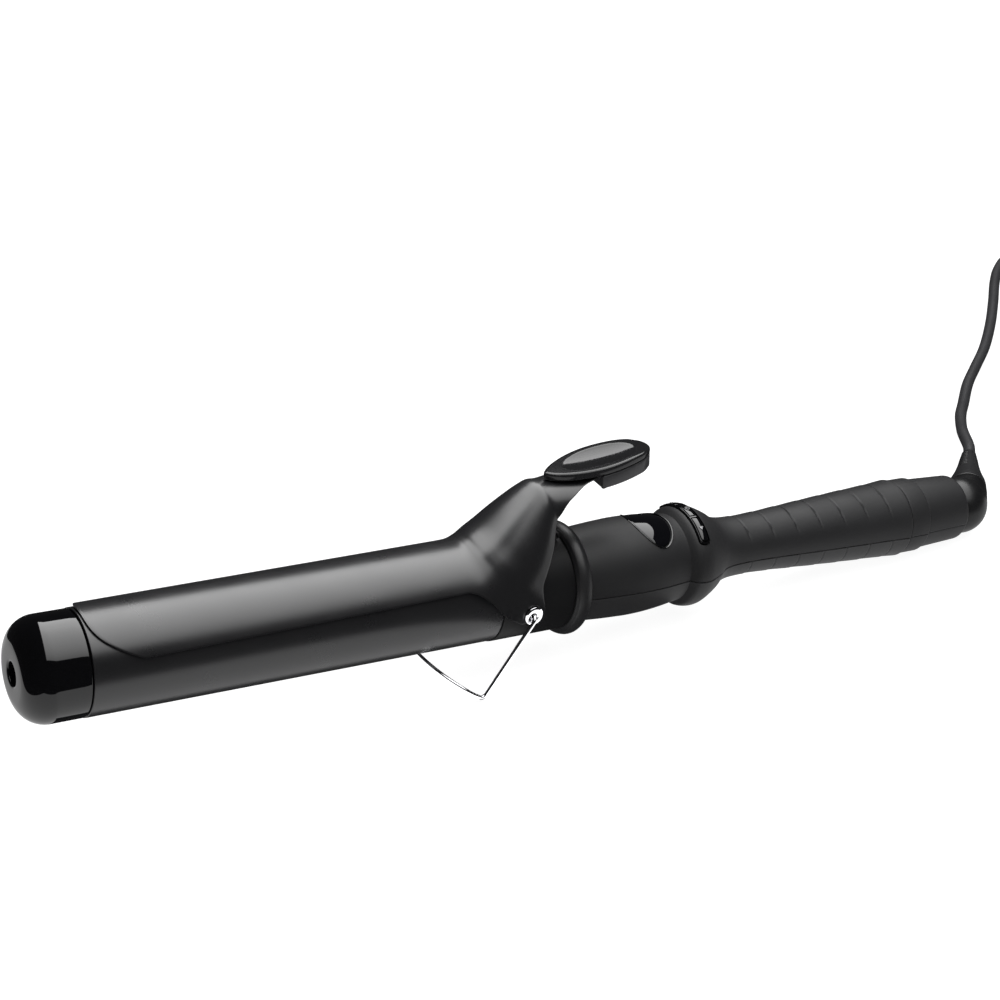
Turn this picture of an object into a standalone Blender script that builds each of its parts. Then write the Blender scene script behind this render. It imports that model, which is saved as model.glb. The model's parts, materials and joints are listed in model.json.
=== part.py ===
"""Curling iron with a spring clamp, a wire kickstand and a swivelling mains cord.

Units are metres and +Z is up. The iron is drawn along its own axis, with X running from the
tip cap (X = 0 where the cap meets the barrel) to the tail, and the empty "iron_axes" then
tilts it so that it rests on its kickstand and its tail. The cord lies on the surface behind it.
"""

import math

import bmesh
import bpy
from mathutils import Matrix, Vector

# ---------------------------------------------------------------- driving dimensions
GAP = 0.0003                 # clearance between pieces that touch
ROUND = 32                   # facets around a large turned piece
SMALL_ROUND = 16             # facets around a small one

# barrel and tip
BARREL_R = 0.0190
CAP_R = BARREL_R - 0.0002
BARREL_WALL = 0.0012
BARREL_LENGTH = 0.1580
CAP_LENGTH = 0.0220
CAP_EDGE_R = 0.0102
CAP_SPIGOT = 0.0080
TIP_HOLE_R = 0.00425
TIP_SCREW_R = 0.0016
TIP_SCREW_HEAD_R = 0.0036
TIP_SCREW_HEAD = 0.0024
ANCHOR_THICKNESS = 0.0030

# heater
HEATER_START = 0.0240
HEATER_LENGTH = 0.0900
PTC_THICKNESS = 0.0032
PTC_WIDTH = 0.0220
SENSOR_R = 0.0012
LEAD_R = 0.0008

# collar between barrel and handle
SEAT_R = BARREL_R + 0.0003
SEAT_BORE_R = 0.0153
SEAT_LENGTH = 0.0304
SEAT_SPIGOT = 0.0120
FERRULE_R = BARREL_R + 0.0031
FERRULE_LENGTH = 0.0066

# pivot, clamp and thumb rest
PIVOT_X = BARREL_LENGTH + 0.0115
PIVOT_Z = -0.0008
RIVET_R = 0.0022
RIVET_HEAD_R = 0.0037
RIVET_HEAD = 0.0009
CLAMP_THICKNESS = 0.0007
EAR_R = 1.1 * BARREL_R         # half the width across the clamp's two ears
THUMB_LENGTH = 0.0455
THUMB_HALF_WIDTH = 0.0091
THUMB_THICKNESS = 0.0031
THUMB_SLOPE = math.radians(9.0)
THUMB_AHEAD = 0.0097         # from the pivot back to the thumb plate's front end
THUMB_Z = 2.4474 * BARREL_R
SKIRT_LENGTH = 0.0254
SKIRT_DEPTH = 0.0053
SKIRT_WALL = 0.0014
THUMB_SCREW_X = 0.0135       # from the thumb plate's front end
THUMB_SCREW_R = 0.0014

# kickstand
WIRE_R = 0.00085
STAND_HALF_WIDTH = EAR_R + 0.0024
STAND_LEG = 1.9158 * BARREL_R
STAND_ANGLE = math.radians(30.4)    # how far the legs lean forward of the iron's own vertical
STAND_BOW = 0.0196
WIRE_BEND = 0.0022

# handle
SHELL_WALL = 0.0018
SEAM_Z = -0.0013             # the seam between the shells, below the axis
HANDLE_LENGTH = 0.1594
FLANGE_AHEAD = 0.0528        # from the handle's front end to the button flange
WINDOW_AHEAD = 0.0347
WINDOW_HALF_LENGTH = 0.0082
WINDOW_HALF_WIDTH = 0.0129
BUTTON_HALF_WIDTH = 0.0017
BUTTON_RISE = 0.0002
BUTTON_TRAVEL = 0.0005
BEZEL_HALF_WIDTH = 0.0024
BEZEL_R = 0.0204
BEZEL_DEPTH = 0.0030
BEZEL_ANGLE = math.radians(50)
SWIVEL_BORE = 0.0118
BAND_LENGTH = 0.0098
BAND_R = 0.0154
SLEEVE_LENGTH = 0.0227
SLEEVE_FRONT_R = 0.0146
SLEEVE_END_R = 0.0136

# swivel, strain relief and cord
BALL_R = 0.0120
BALL_AHEAD = 0.0058          # from the sleeve's end to the ball's middle
STEM_R = 0.0078
ELBOW_ANGLE = math.radians(48)
BOSS_AHEAD = 0.0045          # from the ball's middle to where the boss's axis crosses the iron's
BOSS_R = 0.0086
BOSS_REACH = 0.0130
RELIEF_END = 0.0497          # from where the axes cross
RELIEF_R = 0.0082
RELIEF_END_R = 0.0033
CORD_R = 0.0027
COIL_CENTRE = (0.2135, 0.1455)      # from the strain relief's mouth, on the surface
COIL_R = 0.0300
COIL_HALF_WIDTH = 0.0084
COIL_HEIGHT = 0.0220
CORD_STEP = 0.0130           # between the points of the cord's path
TIE_THICKNESS = 0.0008
TIE_WIDTH = 0.0090
PLUG_LENGTH = 0.0360
PLUG_WIDTH = 0.0240
PLUG_HEIGHT = 0.0137
PIN_R = 0.0020
PIN_LENGTH = 0.0190
PIN_SPACING = 0.0186
PLUG_HEADING = 30               # degrees from X, the way the pins point
PLUG_OFFSET = (0.0058, 0.0179)  # the plug's middle from the coil's
CORD_BEND = 0.0216              # four cord diameters

# the cord's way over the surface, from the strain relief's mouth to the coil: how far along X
# and Y from the mouth, and the height of the cord's middle over the surface. The heights above
# ROUTE_LIES are for a mouth at ROUTE_MOUTH_HEIGHT, and grow and shrink with the mouth's own.
ROUTE_MOUTH_HEIGHT = 0.009864
ROUTE_LIES = 0.0035
CORD_ROUTE = (
    (0.0050, 0.0058, 0.0100), (0.0140, 0.0200, 0.0080),
    (0.0204, 0.0285, 0.0062), (0.0306, 0.0406, 0.0042), (0.0412, 0.0510, 0.0030),
    (0.0570, 0.0665, 0.0028), (0.0735, 0.0800, 0.0028), (0.0925, 0.0955, 0.0028),
    (0.1140, 0.1160, 0.0028), (0.1340, 0.1370, 0.0028), (0.1500, 0.1545, 0.0028),
    (0.1640, 0.1680, 0.0028), (0.1780, 0.1775, 0.0028), (0.1925, 0.1825, 0.0030),
)


# ---------------------------------------------------------------- scene, materials, helpers
for old in list(bpy.data.objects):
    bpy.data.objects.remove(old, do_unlink=True)

parts = bpy.data.collections.new("curling_iron")
cutters = bpy.data.collections.new("cutters")
bpy.context.scene.collection.children.link(parts)
bpy.context.scene.collection.children.link(cutters)

iron_axes = bpy.data.objects.new("iron_axes", None)
parts.objects.link(iron_axes)

pivot_axis = bpy.data.objects.new("pivot_axis", None)    # the clamp and the stand turn about it
parts.objects.link(pivot_axis)
pivot_axis.parent = iron_axes
pivot_axis.location = (PIVOT_X, 0, PIVOT_Z)

FINISHES = {
    "satin_black": ((0.030, 0.030, 0.032), 0.42, 0.6),
    "gloss_black": ((0.010, 0.010, 0.012), 0.08, 0.0),
    "soft_touch": ((0.045, 0.045, 0.048), 0.62, 0.0),
    "soft_touch_lower": ((0.070, 0.070, 0.073), 0.62, 0.0),
    "rubber_black": ((0.040, 0.040, 0.042), 0.55, 0.0),
    "thumb_black": ((0.060, 0.060, 0.063), 0.38, 0.0),
    "chrome": ((0.80, 0.80, 0.82), 0.12, 1.0),
    "steel": ((0.56, 0.57, 0.58), 0.32, 1.0),
    "aluminium": ((0.75, 0.75, 0.76), 0.40, 1.0),
    "ceramic": ((0.85, 0.82, 0.76), 0.50, 0.0),
    "board_green": ((0.02, 0.16, 0.07), 0.45, 0.0),
    "brass": ((0.72, 0.55, 0.24), 0.30, 1.0),
    "lens_black": ((0.008, 0.008, 0.010), 0.05, 0.0),
}


def finish(ob, name):
    """Give the object a material of its own in one of the finishes."""
    colour, roughness, metallic = FINISHES[name]
    material = bpy.data.materials.new(ob.name)
    material.use_nodes = True
    shader = material.node_tree.nodes["Principled BSDF"]
    shader.inputs["Base Color"].default_value = (*colour, 1)
    shader.inputs["Roughness"].default_value = roughness
    shader.inputs["Metallic"].default_value = metallic
    ob.data.materials.append(material)


def add(name, data, look=None, parent=iron_axes):
    """Put an object in the parts, or in the cutters if it has no finish."""
    ob = bpy.data.objects.new(name, data)
    (parts if look else cutters).objects.link(ob)
    ob.parent = parent
    if look:
        finish(ob, look)
    else:
        ob.hide_render = True
        ob.display_type = "WIRE"
    return ob


def hang(ob):
    """Parent an object drawn in the iron's axes to the pivot, leaving it where it is."""
    ob.parent = pivot_axis
    ob.matrix_basis = Matrix.Translation(-pivot_axis.location) @ ob.matrix_basis


def mesh_of(bm, smooth_angle=35):
    """A mesh from a bmesh, shaded smooth apart from its sharp edges."""
    bmesh.ops.recalc_face_normals(bm, faces=bm.faces)
    if bm.calc_volume(signed=True) < 0:
        bmesh.ops.reverse_faces(bm, faces=bm.faces)
    mesh = bpy.data.meshes.new("mesh")
    bm.to_mesh(mesh)
    bm.free()
    mesh.shade_smooth()
    mesh.set_sharp_from_angle(angle=math.radians(smooth_angle))
    return mesh


def turned(name, profile, look=None, facets=ROUND, place=None):
    """A closed profile of (x, radius) points turned about the iron's axis.

    The points run along the outside from the tip towards the tail and back along the inside.
    """
    bm = bmesh.new()
    corners = [bm.verts.new((radius, 0, x)) for x, radius in reversed(profile)]
    on_axis = profile[0][1] == 0 and profile[-1][1] == 0
    for a, b in zip(corners, corners[1:]):
        bm.edges.new((a, b))
    if not on_axis:
        bm.edges.new((corners[-1], corners[0]))
    mesh = bpy.data.meshes.new("mesh")
    bm.to_mesh(mesh)
    bm.free()
    ob = add(name, mesh, look)
    ob.matrix_local = (place or Matrix()) @ Matrix.Rotation(math.pi / 2, 4, "Y")
    screw = ob.modifiers.new("turn", "SCREW")
    screw.axis = "Z"
    screw.steps = facets
    screw.render_steps = facets
    screw.use_merge_vertices = True
    screw.merge_threshold = 0.00001
    screw.use_smooth_shade = True
    return ob


def cylinder(name, radius, start, end, look=None, facets=SMALL_ROUND):
    """A round bar from one point to another, in the iron's axes."""
    start, end = Vector(start), Vector(end)
    along = end - start
    bm = bmesh.new()
    bmesh.ops.create_cone(bm, cap_ends=True, segments=facets, radius1=radius, radius2=radius,
                          depth=along.length)
    turn = along.to_track_quat("Z", "Y").to_matrix().to_4x4()
    bm.transform(Matrix.Translation((start + end) / 2) @ turn)
    return add(name, mesh_of(bm), look)


def box(name, low, high, look=None, bevel=0.0):
    """A block between two corners, in the iron's axes."""
    bm = bmesh.new()
    bmesh.ops.create_cube(bm, size=1)
    size = [b - a for a, b in zip(low, high)]
    middle = [(a + b) / 2 for a, b in zip(low, high)]
    bm.transform(Matrix.Translation(middle) @ Matrix.Diagonal((*size, 1)))
    ob = add(name, mesh_of(bm), look)
    if bevel:
        soften(ob, bevel)
    return ob


def soften(ob, width, segments=2, limit=30):
    """Round the object's edges."""
    bevel = ob.modifiers.new("edges", "BEVEL")
    bevel.width = width
    bevel.segments = segments
    bevel.limit_method = "ANGLE"
    bevel.angle_limit = math.radians(limit)


def combine(ob, other, operation="DIFFERENCE"):
    """Cut the object with another, or keep what both or either hold."""
    boolean = ob.modifiers.new(other.name, "BOOLEAN")
    boolean.operation = operation
    boolean.object = other


def curved_strip(name, x_low, x_high, radius, thickness, angle_low, angle_high, look=None):
    """A strip bent round the iron's axis, by angles from the top towards +Y."""
    steps = max(3, round((angle_high - angle_low) / math.radians(9)))
    bm = bmesh.new()
    bmesh.ops.create_grid(bm, x_segments=1, y_segments=steps, size=0.5)
    for vert in bm.verts:
        x = x_low + (vert.co.x + 0.5) * (x_high - x_low)
        angle = angle_low + (vert.co.y + 0.5) * (angle_high - angle_low)
        vert.co = (x, radius * math.sin(angle), radius * math.cos(angle))
    up = sum((face.normal.dot(Vector((0, *face.calc_center_median().yz))) for face in bm.faces))
    if up < 0:
        bmesh.ops.reverse_faces(bm, faces=bm.faces)
    mesh = bpy.data.meshes.new("mesh")
    bm.to_mesh(mesh)
    bm.free()
    ob = add(name, mesh, look)
    solid = ob.modifiers.new("wall", "SOLIDIFY")
    solid.thickness = thickness
    solid.offset = -1
    return ob


def outline(name, loops, half_depth, place, look=None):
    """A flat outline, with any holes, given half its thickness to each side of its plane."""
    curve = bpy.data.curves.new(name, "CURVE")
    curve.dimensions = "2D"
    curve.fill_mode = "BOTH"
    curve.extrude = half_depth
    for points in loops:
        spline = curve.splines.new("POLY")
        spline.points.add(len(points) - 1)
        for point, (a, b) in zip(spline.points, points):
            point.co = (a, b, 0, 1)
        spline.use_cyclic_u = True
    guide = add(name + "_outline", curve)
    guide.matrix_local = place
    bpy.context.view_layer.update()
    evaluated = guide.evaluated_get(bpy.context.evaluated_depsgraph_get())
    mesh = bpy.data.meshes.new_from_object(evaluated)
    bpy.data.objects.remove(guide, do_unlink=True)
    bm = bmesh.new()
    bm.from_mesh(mesh)
    bmesh.ops.remove_doubles(bm, verts=bm.verts, dist=0.000001)
    bm.transform(place)
    return add(name, mesh_of(bm), look)


def tube(name, points, radius, look, parent=iron_axes):
    """A round wire or cord along a list of points, with flat ends."""
    curve = bpy.data.curves.new(name, "CURVE")
    curve.dimensions = "3D"
    curve.bevel_depth = radius
    curve.bevel_resolution = 2
    curve.use_fill_caps = True
    spline = curve.splines.new("POLY")
    spline.points.add(len(points) - 1)
    for point, co in zip(spline.points, points):
        point.co = (*co, 1)
    return add(name, curve, look, parent)


def smooth_path(points, step):
    """Points read at an even step from a smooth curve through the given ones."""
    points = [Vector(p) for p in points]
    ends = [2 * points[0] - points[1], *points, 2 * points[-1] - points[-2]]
    dense = [points[0]]
    for before, start, end, after in zip(ends, ends[1:], ends[2:], ends[3:]):
        for part in range(1, 21):
            t = part / 20
            dense.append(0.5 * (2 * start + (end - before) * t
                                + (2 * before - 5 * start + 4 * end - after) * t ** 2
                                + (3 * start - before - 3 * end + after) * t ** 3))
    length = sum((b - a).length for a, b in zip(dense, dense[1:]))
    count = max(2, round(length / step))
    found, travelled, target = [dense[0]], 0.0, length / count
    for a, b in zip(dense, dense[1:]):
        travelled += (b - a).length
        while travelled >= target and len(found) < count:
            found.append(b)
            target += length / count
    found.append(dense[-1])
    return found


def circle(radius, facets=SMALL_ROUND, middle=(0, 0)):
    """The points of a circle in a plane."""
    return [(middle[0] + radius * math.cos(2 * math.pi * i / facets),
             middle[1] + radius * math.sin(2 * math.pi * i / facets)) for i in range(facets)]


# ---------------------------------------------------------------- stations along the iron
barrel_bore = BARREL_R - BARREL_WALL
seat_start = BARREL_LENGTH + GAP
seat_end = seat_start + SEAT_LENGTH
ferrule_start = seat_end + GAP
ferrule_end = ferrule_start + FERRULE_LENGTH
shell_start = ferrule_end + GAP
flange_x = shell_start + FLANGE_AHEAD
window_x = shell_start + WINDOW_AHEAD
shell_end = shell_start + HANDLE_LENGTH
band_start = shell_end + GAP
band_end = band_start + BAND_LENGTH
sleeve_start = band_end + GAP
sleeve_end = sleeve_start + SLEEVE_LENGTH

# ---------------------------------------------------------------- barrel, cap and heater
turned("barrel_tube", [(GAP / 2, BARREL_R), (BARREL_LENGTH, BARREL_R),
                       (BARREL_LENGTH, barrel_bore), (GAP / 2, barrel_bore)], "satin_black")


def cap_profile():
    """The cap's outline: dome, front face, screw recess, shelf, hollow and spigot."""
    front = -CAP_LENGTH
    spigot_r = barrel_bore - GAP
    dome = [(front + CAP_EDGE_R - CAP_EDGE_R * math.sin(angle),
             CAP_R - CAP_EDGE_R + CAP_EDGE_R * math.cos(angle))
            for angle in (math.radians(90 - 18 * i) for i in range(6))]
    shelf = front + 0.0064
    return ([(shelf + 0.0025, TIP_SCREW_R + GAP), (shelf, TIP_SCREW_R + GAP), (shelf, TIP_HOLE_R),
             (front + 0.0006, TIP_HOLE_R), (front, TIP_HOLE_R + 0.0006)]
            + dome
            + [(-GAP / 2, CAP_R), (-GAP / 2, spigot_r), (CAP_SPIGOT, spigot_r),
               (CAP_SPIGOT, spigot_r - 0.0019), (shelf + 0.0050, spigot_r - 0.0019),
               (shelf + 0.0025, spigot_r - 0.0054)])


turned("tip_cap", cap_profile(), "gloss_black")

screw_seat = -CAP_LENGTH + 0.0064 - GAP
anchor_x = CAP_SPIGOT + 0.0010
turned("tip_screw",
       [(screw_seat - TIP_SCREW_HEAD, 0), (screw_seat - TIP_SCREW_HEAD, TIP_SCREW_HEAD_R),
        (screw_seat, TIP_SCREW_HEAD_R), (screw_seat, TIP_SCREW_R),
        (anchor_x + ANCHOR_THICKNESS + 0.0010, TIP_SCREW_R), (anchor_x + ANCHOR_THICKNESS + 0.0010, 0)],
       "steel", SMALL_ROUND)
turned("tip_anchor",
       [(anchor_x, barrel_bore - GAP), (anchor_x + ANCHOR_THICKNESS, barrel_bore - GAP),
        (anchor_x + ANCHOR_THICKNESS, TIP_SCREW_R + GAP), (anchor_x, TIP_SCREW_R + GAP)],
       "steel", SMALL_ROUND)


def heater_block(name, side):
    """A half-round block that fills one half of the barrel's bore, with a bore of its own."""
    radius = barrel_bore - GAP
    flat = PTC_THICKNESS / 2 + GAP
    reach = math.acos(flat / radius)
    arc = [(radius * math.sin(angle), side * radius * math.cos(angle))
           for angle in (-reach + 2 * reach * i / 16 for i in range(17))]
    hole = circle(0.0062, 12, (0, side * (flat + radius) / 2))
    middle = HEATER_START + HEATER_LENGTH / 2
    place = Matrix(((0, 0, 1, middle), (1, 0, 0, 0), (0, 1, 0, 0), (0, 0, 0, 1)))
    outline(name, [arc, hole], HEATER_LENGTH / 2, place, "aluminium")


heater_block("heater_block_upper", 1)
heater_block("heater_block_lower", -1)
box("ptc_element", (HEATER_START + 0.005, -PTC_WIDTH / 2, -PTC_THICKNESS / 2),
    (HEATER_START + HEATER_LENGTH - 0.005, PTC_WIDTH / 2, PTC_THICKNESS / 2), "ceramic")
sensor_x = HEATER_START + HEATER_LENGTH + 0.0015
cylinder("thermal_sensor", SENSOR_R, (sensor_x, 0, 0.006), (sensor_x + 0.011, 0, 0.006),
         "steel", 12)

# ---------------------------------------------------------------- seat, ferrule and pivot rivets
spigot_out = barrel_bore - GAP
tail_spigot_r = SEAT_BORE_R + 0.0005
barrel_seat = turned(
    "barrel_seat",
    [(BARREL_LENGTH - SEAT_SPIGOT, spigot_out), (seat_start, spigot_out), (seat_start, SEAT_R),
     (seat_end, SEAT_R), (seat_end, tail_spigot_r), (shell_start + 0.0045, tail_spigot_r),
     (shell_start + 0.0045, SEAT_BORE_R - 0.0012), (BARREL_LENGTH - SEAT_SPIGOT, SEAT_BORE_R - 0.0012)],
    "satin_black")
ferrule_bead = [(ferrule_start + FERRULE_LENGTH * (0.18 + 0.64 * i / 6),
                 FERRULE_R - 0.0020 + 0.0020 * math.sin(math.pi * (0.12 + 0.80 * i / 6)))
                for i in range(7)]
turned("ferrule_ring",
       [(ferrule_start, tail_spigot_r + GAP), (ferrule_start, FERRULE_R - 0.0024), *ferrule_bead,
        (ferrule_end, FERRULE_R - 0.0035), (ferrule_end, tail_spigot_r + GAP)],
       "rubber_black")

rivet_inner = SEAT_BORE_R - 0.0018
for side, word in ((-1, "near"), (1, "far")):
    hole = cylinder(f"rivet_hole_{word}", RIVET_R + GAP,
                    (PIVOT_X, side * (rivet_inner - 0.004), PIVOT_Z),
                    (PIVOT_X, side * (EAR_R + 0.004), PIVOT_Z))
    combine(barrel_seat, hole)
    head = EAR_R + GAP
    flip = Matrix.Translation((PIVOT_X, 0, PIVOT_Z)) @ Matrix.Rotation(side * math.pi / 2, 4, "Z")
    turned(f"pivot_rivet_{word}",
           [(rivet_inner, WIRE_R + GAP), (rivet_inner, RIVET_R), (head, RIVET_R),
            (head, RIVET_HEAD_R), (head + RIVET_HEAD * 0.45, RIVET_HEAD_R),
            (head + RIVET_HEAD, RIVET_HEAD_R - 0.0012), (head + RIVET_HEAD, WIRE_R + GAP)],
           "chrome", SMALL_ROUND, flip)

# ---------------------------------------------------------------- clamp
# Each section of the sheet: its crown (x from the pivot, z), the slope of the sheet there in
# degrees, its radius, how far round it reaches in degrees, and how far its straight sides run on
# below that. The lengths other than x are in barrel radii.
CLAMP_SECTIONS = (
    (-0.0265, 1.1158, 0, 1.0842, 58, 0.0000),
    (-0.0235, 1.1211, 6, 1.0895, 63, 0.0000),
    (-0.0217, 1.1368, 15, 1.1000, 75, 0.0000),
    (-0.0205, 1.1684, 24, 1.1000, 90, 0.2368),
    (-0.0194, 1.2053, 32, 1.1000, 90, 0.6316),
    (-0.0181, 1.2632, 38, 1.1000, 90, 0.8158),
    (-0.0165, 1.3263, 41, 1.1000, 90, 0.6316),
    (-0.0148, 1.3947, 42, 1.0789, 90, 0.3947),
    (-0.0128, 1.4842, 42, 1.0421, 90, 0.2368),
    (-0.0103, 1.6053, 42, 0.9947, 90, 0.1842),
    (-0.0075, 1.7421, 41, 0.9263, 90, 0.1842),
    (-0.0047, 1.8737, 39, 0.8526, 90, 0.1895),
    (-0.0015, 2.0158, 36, 0.7684, 90, 0.1895),
    (0.0020, 2.1579, 31, 0.6737, 90, 0.1684),
    (0.0055, 2.2632, 24, 0.6000, 90, 0.1053),
    (0.0095, 2.2684, 13, 0.5895, 84, 0.0000),
    (0.0155, 2.3053, 9, 0.6737, 52, 0.0000),
    (0.0225, 2.3632, 9, 0.9474, 26, 0.0000),
    (0.0295, 2.4263, 9, 1.2632, 16, 0.0000),
)
BLADE_ROWS = (0.0, 0.03, 0.08, 0.16, 0.34, 0.56, 0.78)
BLADE_REACH = 62             # how far round the blade reaches at its tip, in degrees
BLADE_TIP = 0.0009
BLADE_TIP_CURVE = 0.0174
BLADE_TIP_POWER = 3.2
BLADE_TIP_RISE = 0.0012      # how much nearer to the barrel the blade's crown is at its tip
CLAMP_COLUMNS = 20


def clamp_point(row, across):
    """A point of the sheet's outer face. across runs from -1 at one edge to 1 at the other."""
    ahead, crown, slope, radius, reach, leg = row
    x, z, radius, leg = PIVOT_X + ahead, crown * BARREL_R, radius * BARREL_R, leg * BARREL_R
    slope, reach = math.radians(slope), math.radians(reach)
    run = abs(across) * (radius * reach + leg)
    side = math.copysign(1, across)
    if run <= radius * reach:
        out, drop = radius * math.sin(run / radius), radius * (1 - math.cos(run / radius))
    else:
        out = radius * math.sin(reach)
        drop = radius * (1 - math.cos(reach)) + run - radius * reach
    return Vector((x + drop * math.sin(slope), side * out, z - drop * math.cos(slope)))


def clamp_sheet(name, look):
    """The clamp: a trough over the barrel that rises into a hood and ends in a tongue."""
    bm = bmesh.new()
    rows = []
    first = CLAMP_SECTIONS[0]
    for share in BLADE_ROWS:
        points = []
        for i in range(CLAMP_COLUMNS + 1):
            across = 2 * i / CLAMP_COLUMNS - 1
            reach = BLADE_REACH + (first[4] - BLADE_REACH) * share
            point = clamp_point((*first[:4], reach, 0), across)
            tip = BLADE_TIP + BLADE_TIP_CURVE * abs(across) ** BLADE_TIP_POWER
            points.append(Vector((tip + (PIVOT_X + first[0] - tip) * share, point.y,
                                  point.z - BLADE_TIP_RISE * (1 - share))))
        rows.append(points)
    for section in CLAMP_SECTIONS:
        rows.append([clamp_point(section, 2 * i / CLAMP_COLUMNS - 1) for i in range(CLAMP_COLUMNS + 1)])
    grid = [[bm.verts.new(p) for p in points] for points in rows]
    for low, high in zip(grid, grid[1:]):
        for i in range(CLAMP_COLUMNS):
            bm.faces.new((low[i], high[i], high[i + 1], low[i + 1]))
    if sum(face.normal.z for face in bm.faces) < 0:
        bmesh.ops.reverse_faces(bm, faces=bm.faces)
    mesh = bpy.data.meshes.new("mesh")
    bm.to_mesh(mesh)
    bm.free()
    mesh.shade_smooth()
    ob = add(name, mesh, look)
    wall = ob.modifiers.new("wall", "SOLIDIFY")
    wall.thickness = CLAMP_THICKNESS
    wall.offset = -1
    return ob


clamp_blade = clamp_sheet("clamp_blade", "satin_black")
for word in ("near", "far"):
    combine(clamp_blade, bpy.data.objects[f"rivet_hole_{word}"])


def thumb_half_width(along):
    """Half the thumb plate's width at a distance from its front end."""
    share = along / THUMB_LENGTH
    front = math.sin(min(1, share / 0.52) * math.pi / 2) ** 0.62
    rear = 1 - 0.20 * max(0, (share - 0.52) / 0.30) ** 2
    nose = 0.0065 / THUMB_LENGTH
    end = math.sqrt(max(0, 1 - max(0, (share - (1 - nose)) / nose) ** 2))
    return THUMB_HALF_WIDTH * front * max(0.62, rear) * end


def thumb_outline(start, end, inset=0.0, steps=22):
    """The plate's outline between two distances from its front end."""
    stations = [start + (end - start) * (1 - math.cos(math.pi * i / steps)) / 2 for i in range(steps + 1)]
    side = [(x, max(0.0, thumb_half_width(x) - inset)) for x in stations]
    keep = [p for p in side if p[1] > 0.0002]
    near = [(x, -w) for x, w in keep]
    far = [(x, w) for x, w in reversed(keep)]
    return near + far


thumb_place = (Matrix.Translation((PIVOT_X + THUMB_AHEAD, 0, THUMB_Z))
               @ Matrix.Rotation(-THUMB_SLOPE, 4, "Y"))


def thumb_layer(depth):
    """The thumb plate's plane at a depth below its top face."""
    return thumb_place @ Matrix.Translation((0, 0, -depth))


thumb_plate = outline("thumb_plate", [thumb_outline(0, THUMB_LENGTH)], THUMB_THICKNESS / 2,
                      thumb_layer(THUMB_THICKNESS / 2), "thumb_black")
skirt_start = THUMB_LENGTH - SKIRT_LENGTH
skirt_top = THUMB_THICKNESS + GAP
thumb_skirt = outline("thumb_skirt", [thumb_outline(skirt_start, THUMB_LENGTH - 0.0002)],
                      SKIRT_DEPTH / 2, thumb_layer(skirt_top + SKIRT_DEPTH / 2), "thumb_black")
pocket = outline("skirt_pocket",
                 [thumb_outline(skirt_start + SKIRT_WALL, THUMB_LENGTH - SKIRT_WALL, SKIRT_WALL)],
                 SKIRT_DEPTH / 2, thumb_layer(skirt_top + SKIRT_WALL + SKIRT_DEPTH / 2))
combine(thumb_skirt, pocket)


def thumb_frame(along, depth):
    """A point under the middle of the thumb plate, in the iron's axes."""
    return thumb_place @ Vector((along, 0, -depth))


screw_hole = cylinder("thumb_screw_hole", THUMB_SCREW_R + GAP,
                      thumb_frame(THUMB_SCREW_X, THUMB_THICKNESS - 0.0014),
                      thumb_frame(THUMB_SCREW_X, 0.012))
combine(thumb_plate, screw_hole)
combine(clamp_blade, screw_hole)
# the tongue's lower face lies this far under the plate's top at the screw
tongue_depth = THUMB_THICKNESS + 0.0026
thumb_screw = cylinder("thumb_screw", THUMB_SCREW_R,
                       thumb_frame(THUMB_SCREW_X, THUMB_THICKNESS - 0.0011),
                       thumb_frame(THUMB_SCREW_X, tongue_depth + 0.0010), "steel")
screw_head = cylinder("thumb_screw_head", THUMB_SCREW_R * 1.9,
                      thumb_frame(THUMB_SCREW_X, tongue_depth + 0.0002),
                      thumb_frame(THUMB_SCREW_X, tongue_depth + 0.0016))
combine(thumb_screw, screw_head, "UNION")

for piece in (clamp_blade, thumb_plate, thumb_skirt, thumb_screw):
    hang(piece)

# ---------------------------------------------------------------- clamp spring
SPRING_WIDTH = 0.0080
SPRING_THICKNESS = 0.0006
SPRING_X = BARREL_LENGTH + 0.954 * SEAT_LENGTH


def spring_outline():
    """A leaf that lies on the seat and curls up and forward under the hood."""
    base = SEAT_R + GAP + SPRING_THICKNESS / 2
    middle = [(SPRING_X - 0.0035, base), (SPRING_X, base)]
    for i in range(1, 7):
        a = math.radians(30 * i)
        middle.append((SPRING_X - 0.0015 * (1 - math.cos(a)) + 0.0012 * math.sin(a),
                       base + 0.0020 * (1 - math.cos(a))))
    middle += [(SPRING_X - 0.0070, base + 0.0072), (SPRING_X - 0.0105, base + 0.0132)]
    upper, lower = [], []
    for i, (x, z) in enumerate(middle):
        ahead = Vector(middle[min(i + 1, len(middle) - 1)]) - Vector(middle[max(i - 1, 0)])
        normal = Vector((-ahead.y, ahead.x)).normalized() * SPRING_THICKNESS / 2
        upper.append((x + normal.x, z + normal.y))
        lower.append((x - normal.x, z - normal.y))
    return upper + lower[::-1]


outline("clamp_spring", [spring_outline()], SPRING_WIDTH / 2,
        Matrix.Rotation(math.pi / 2, 4, "X"), "steel")


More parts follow.
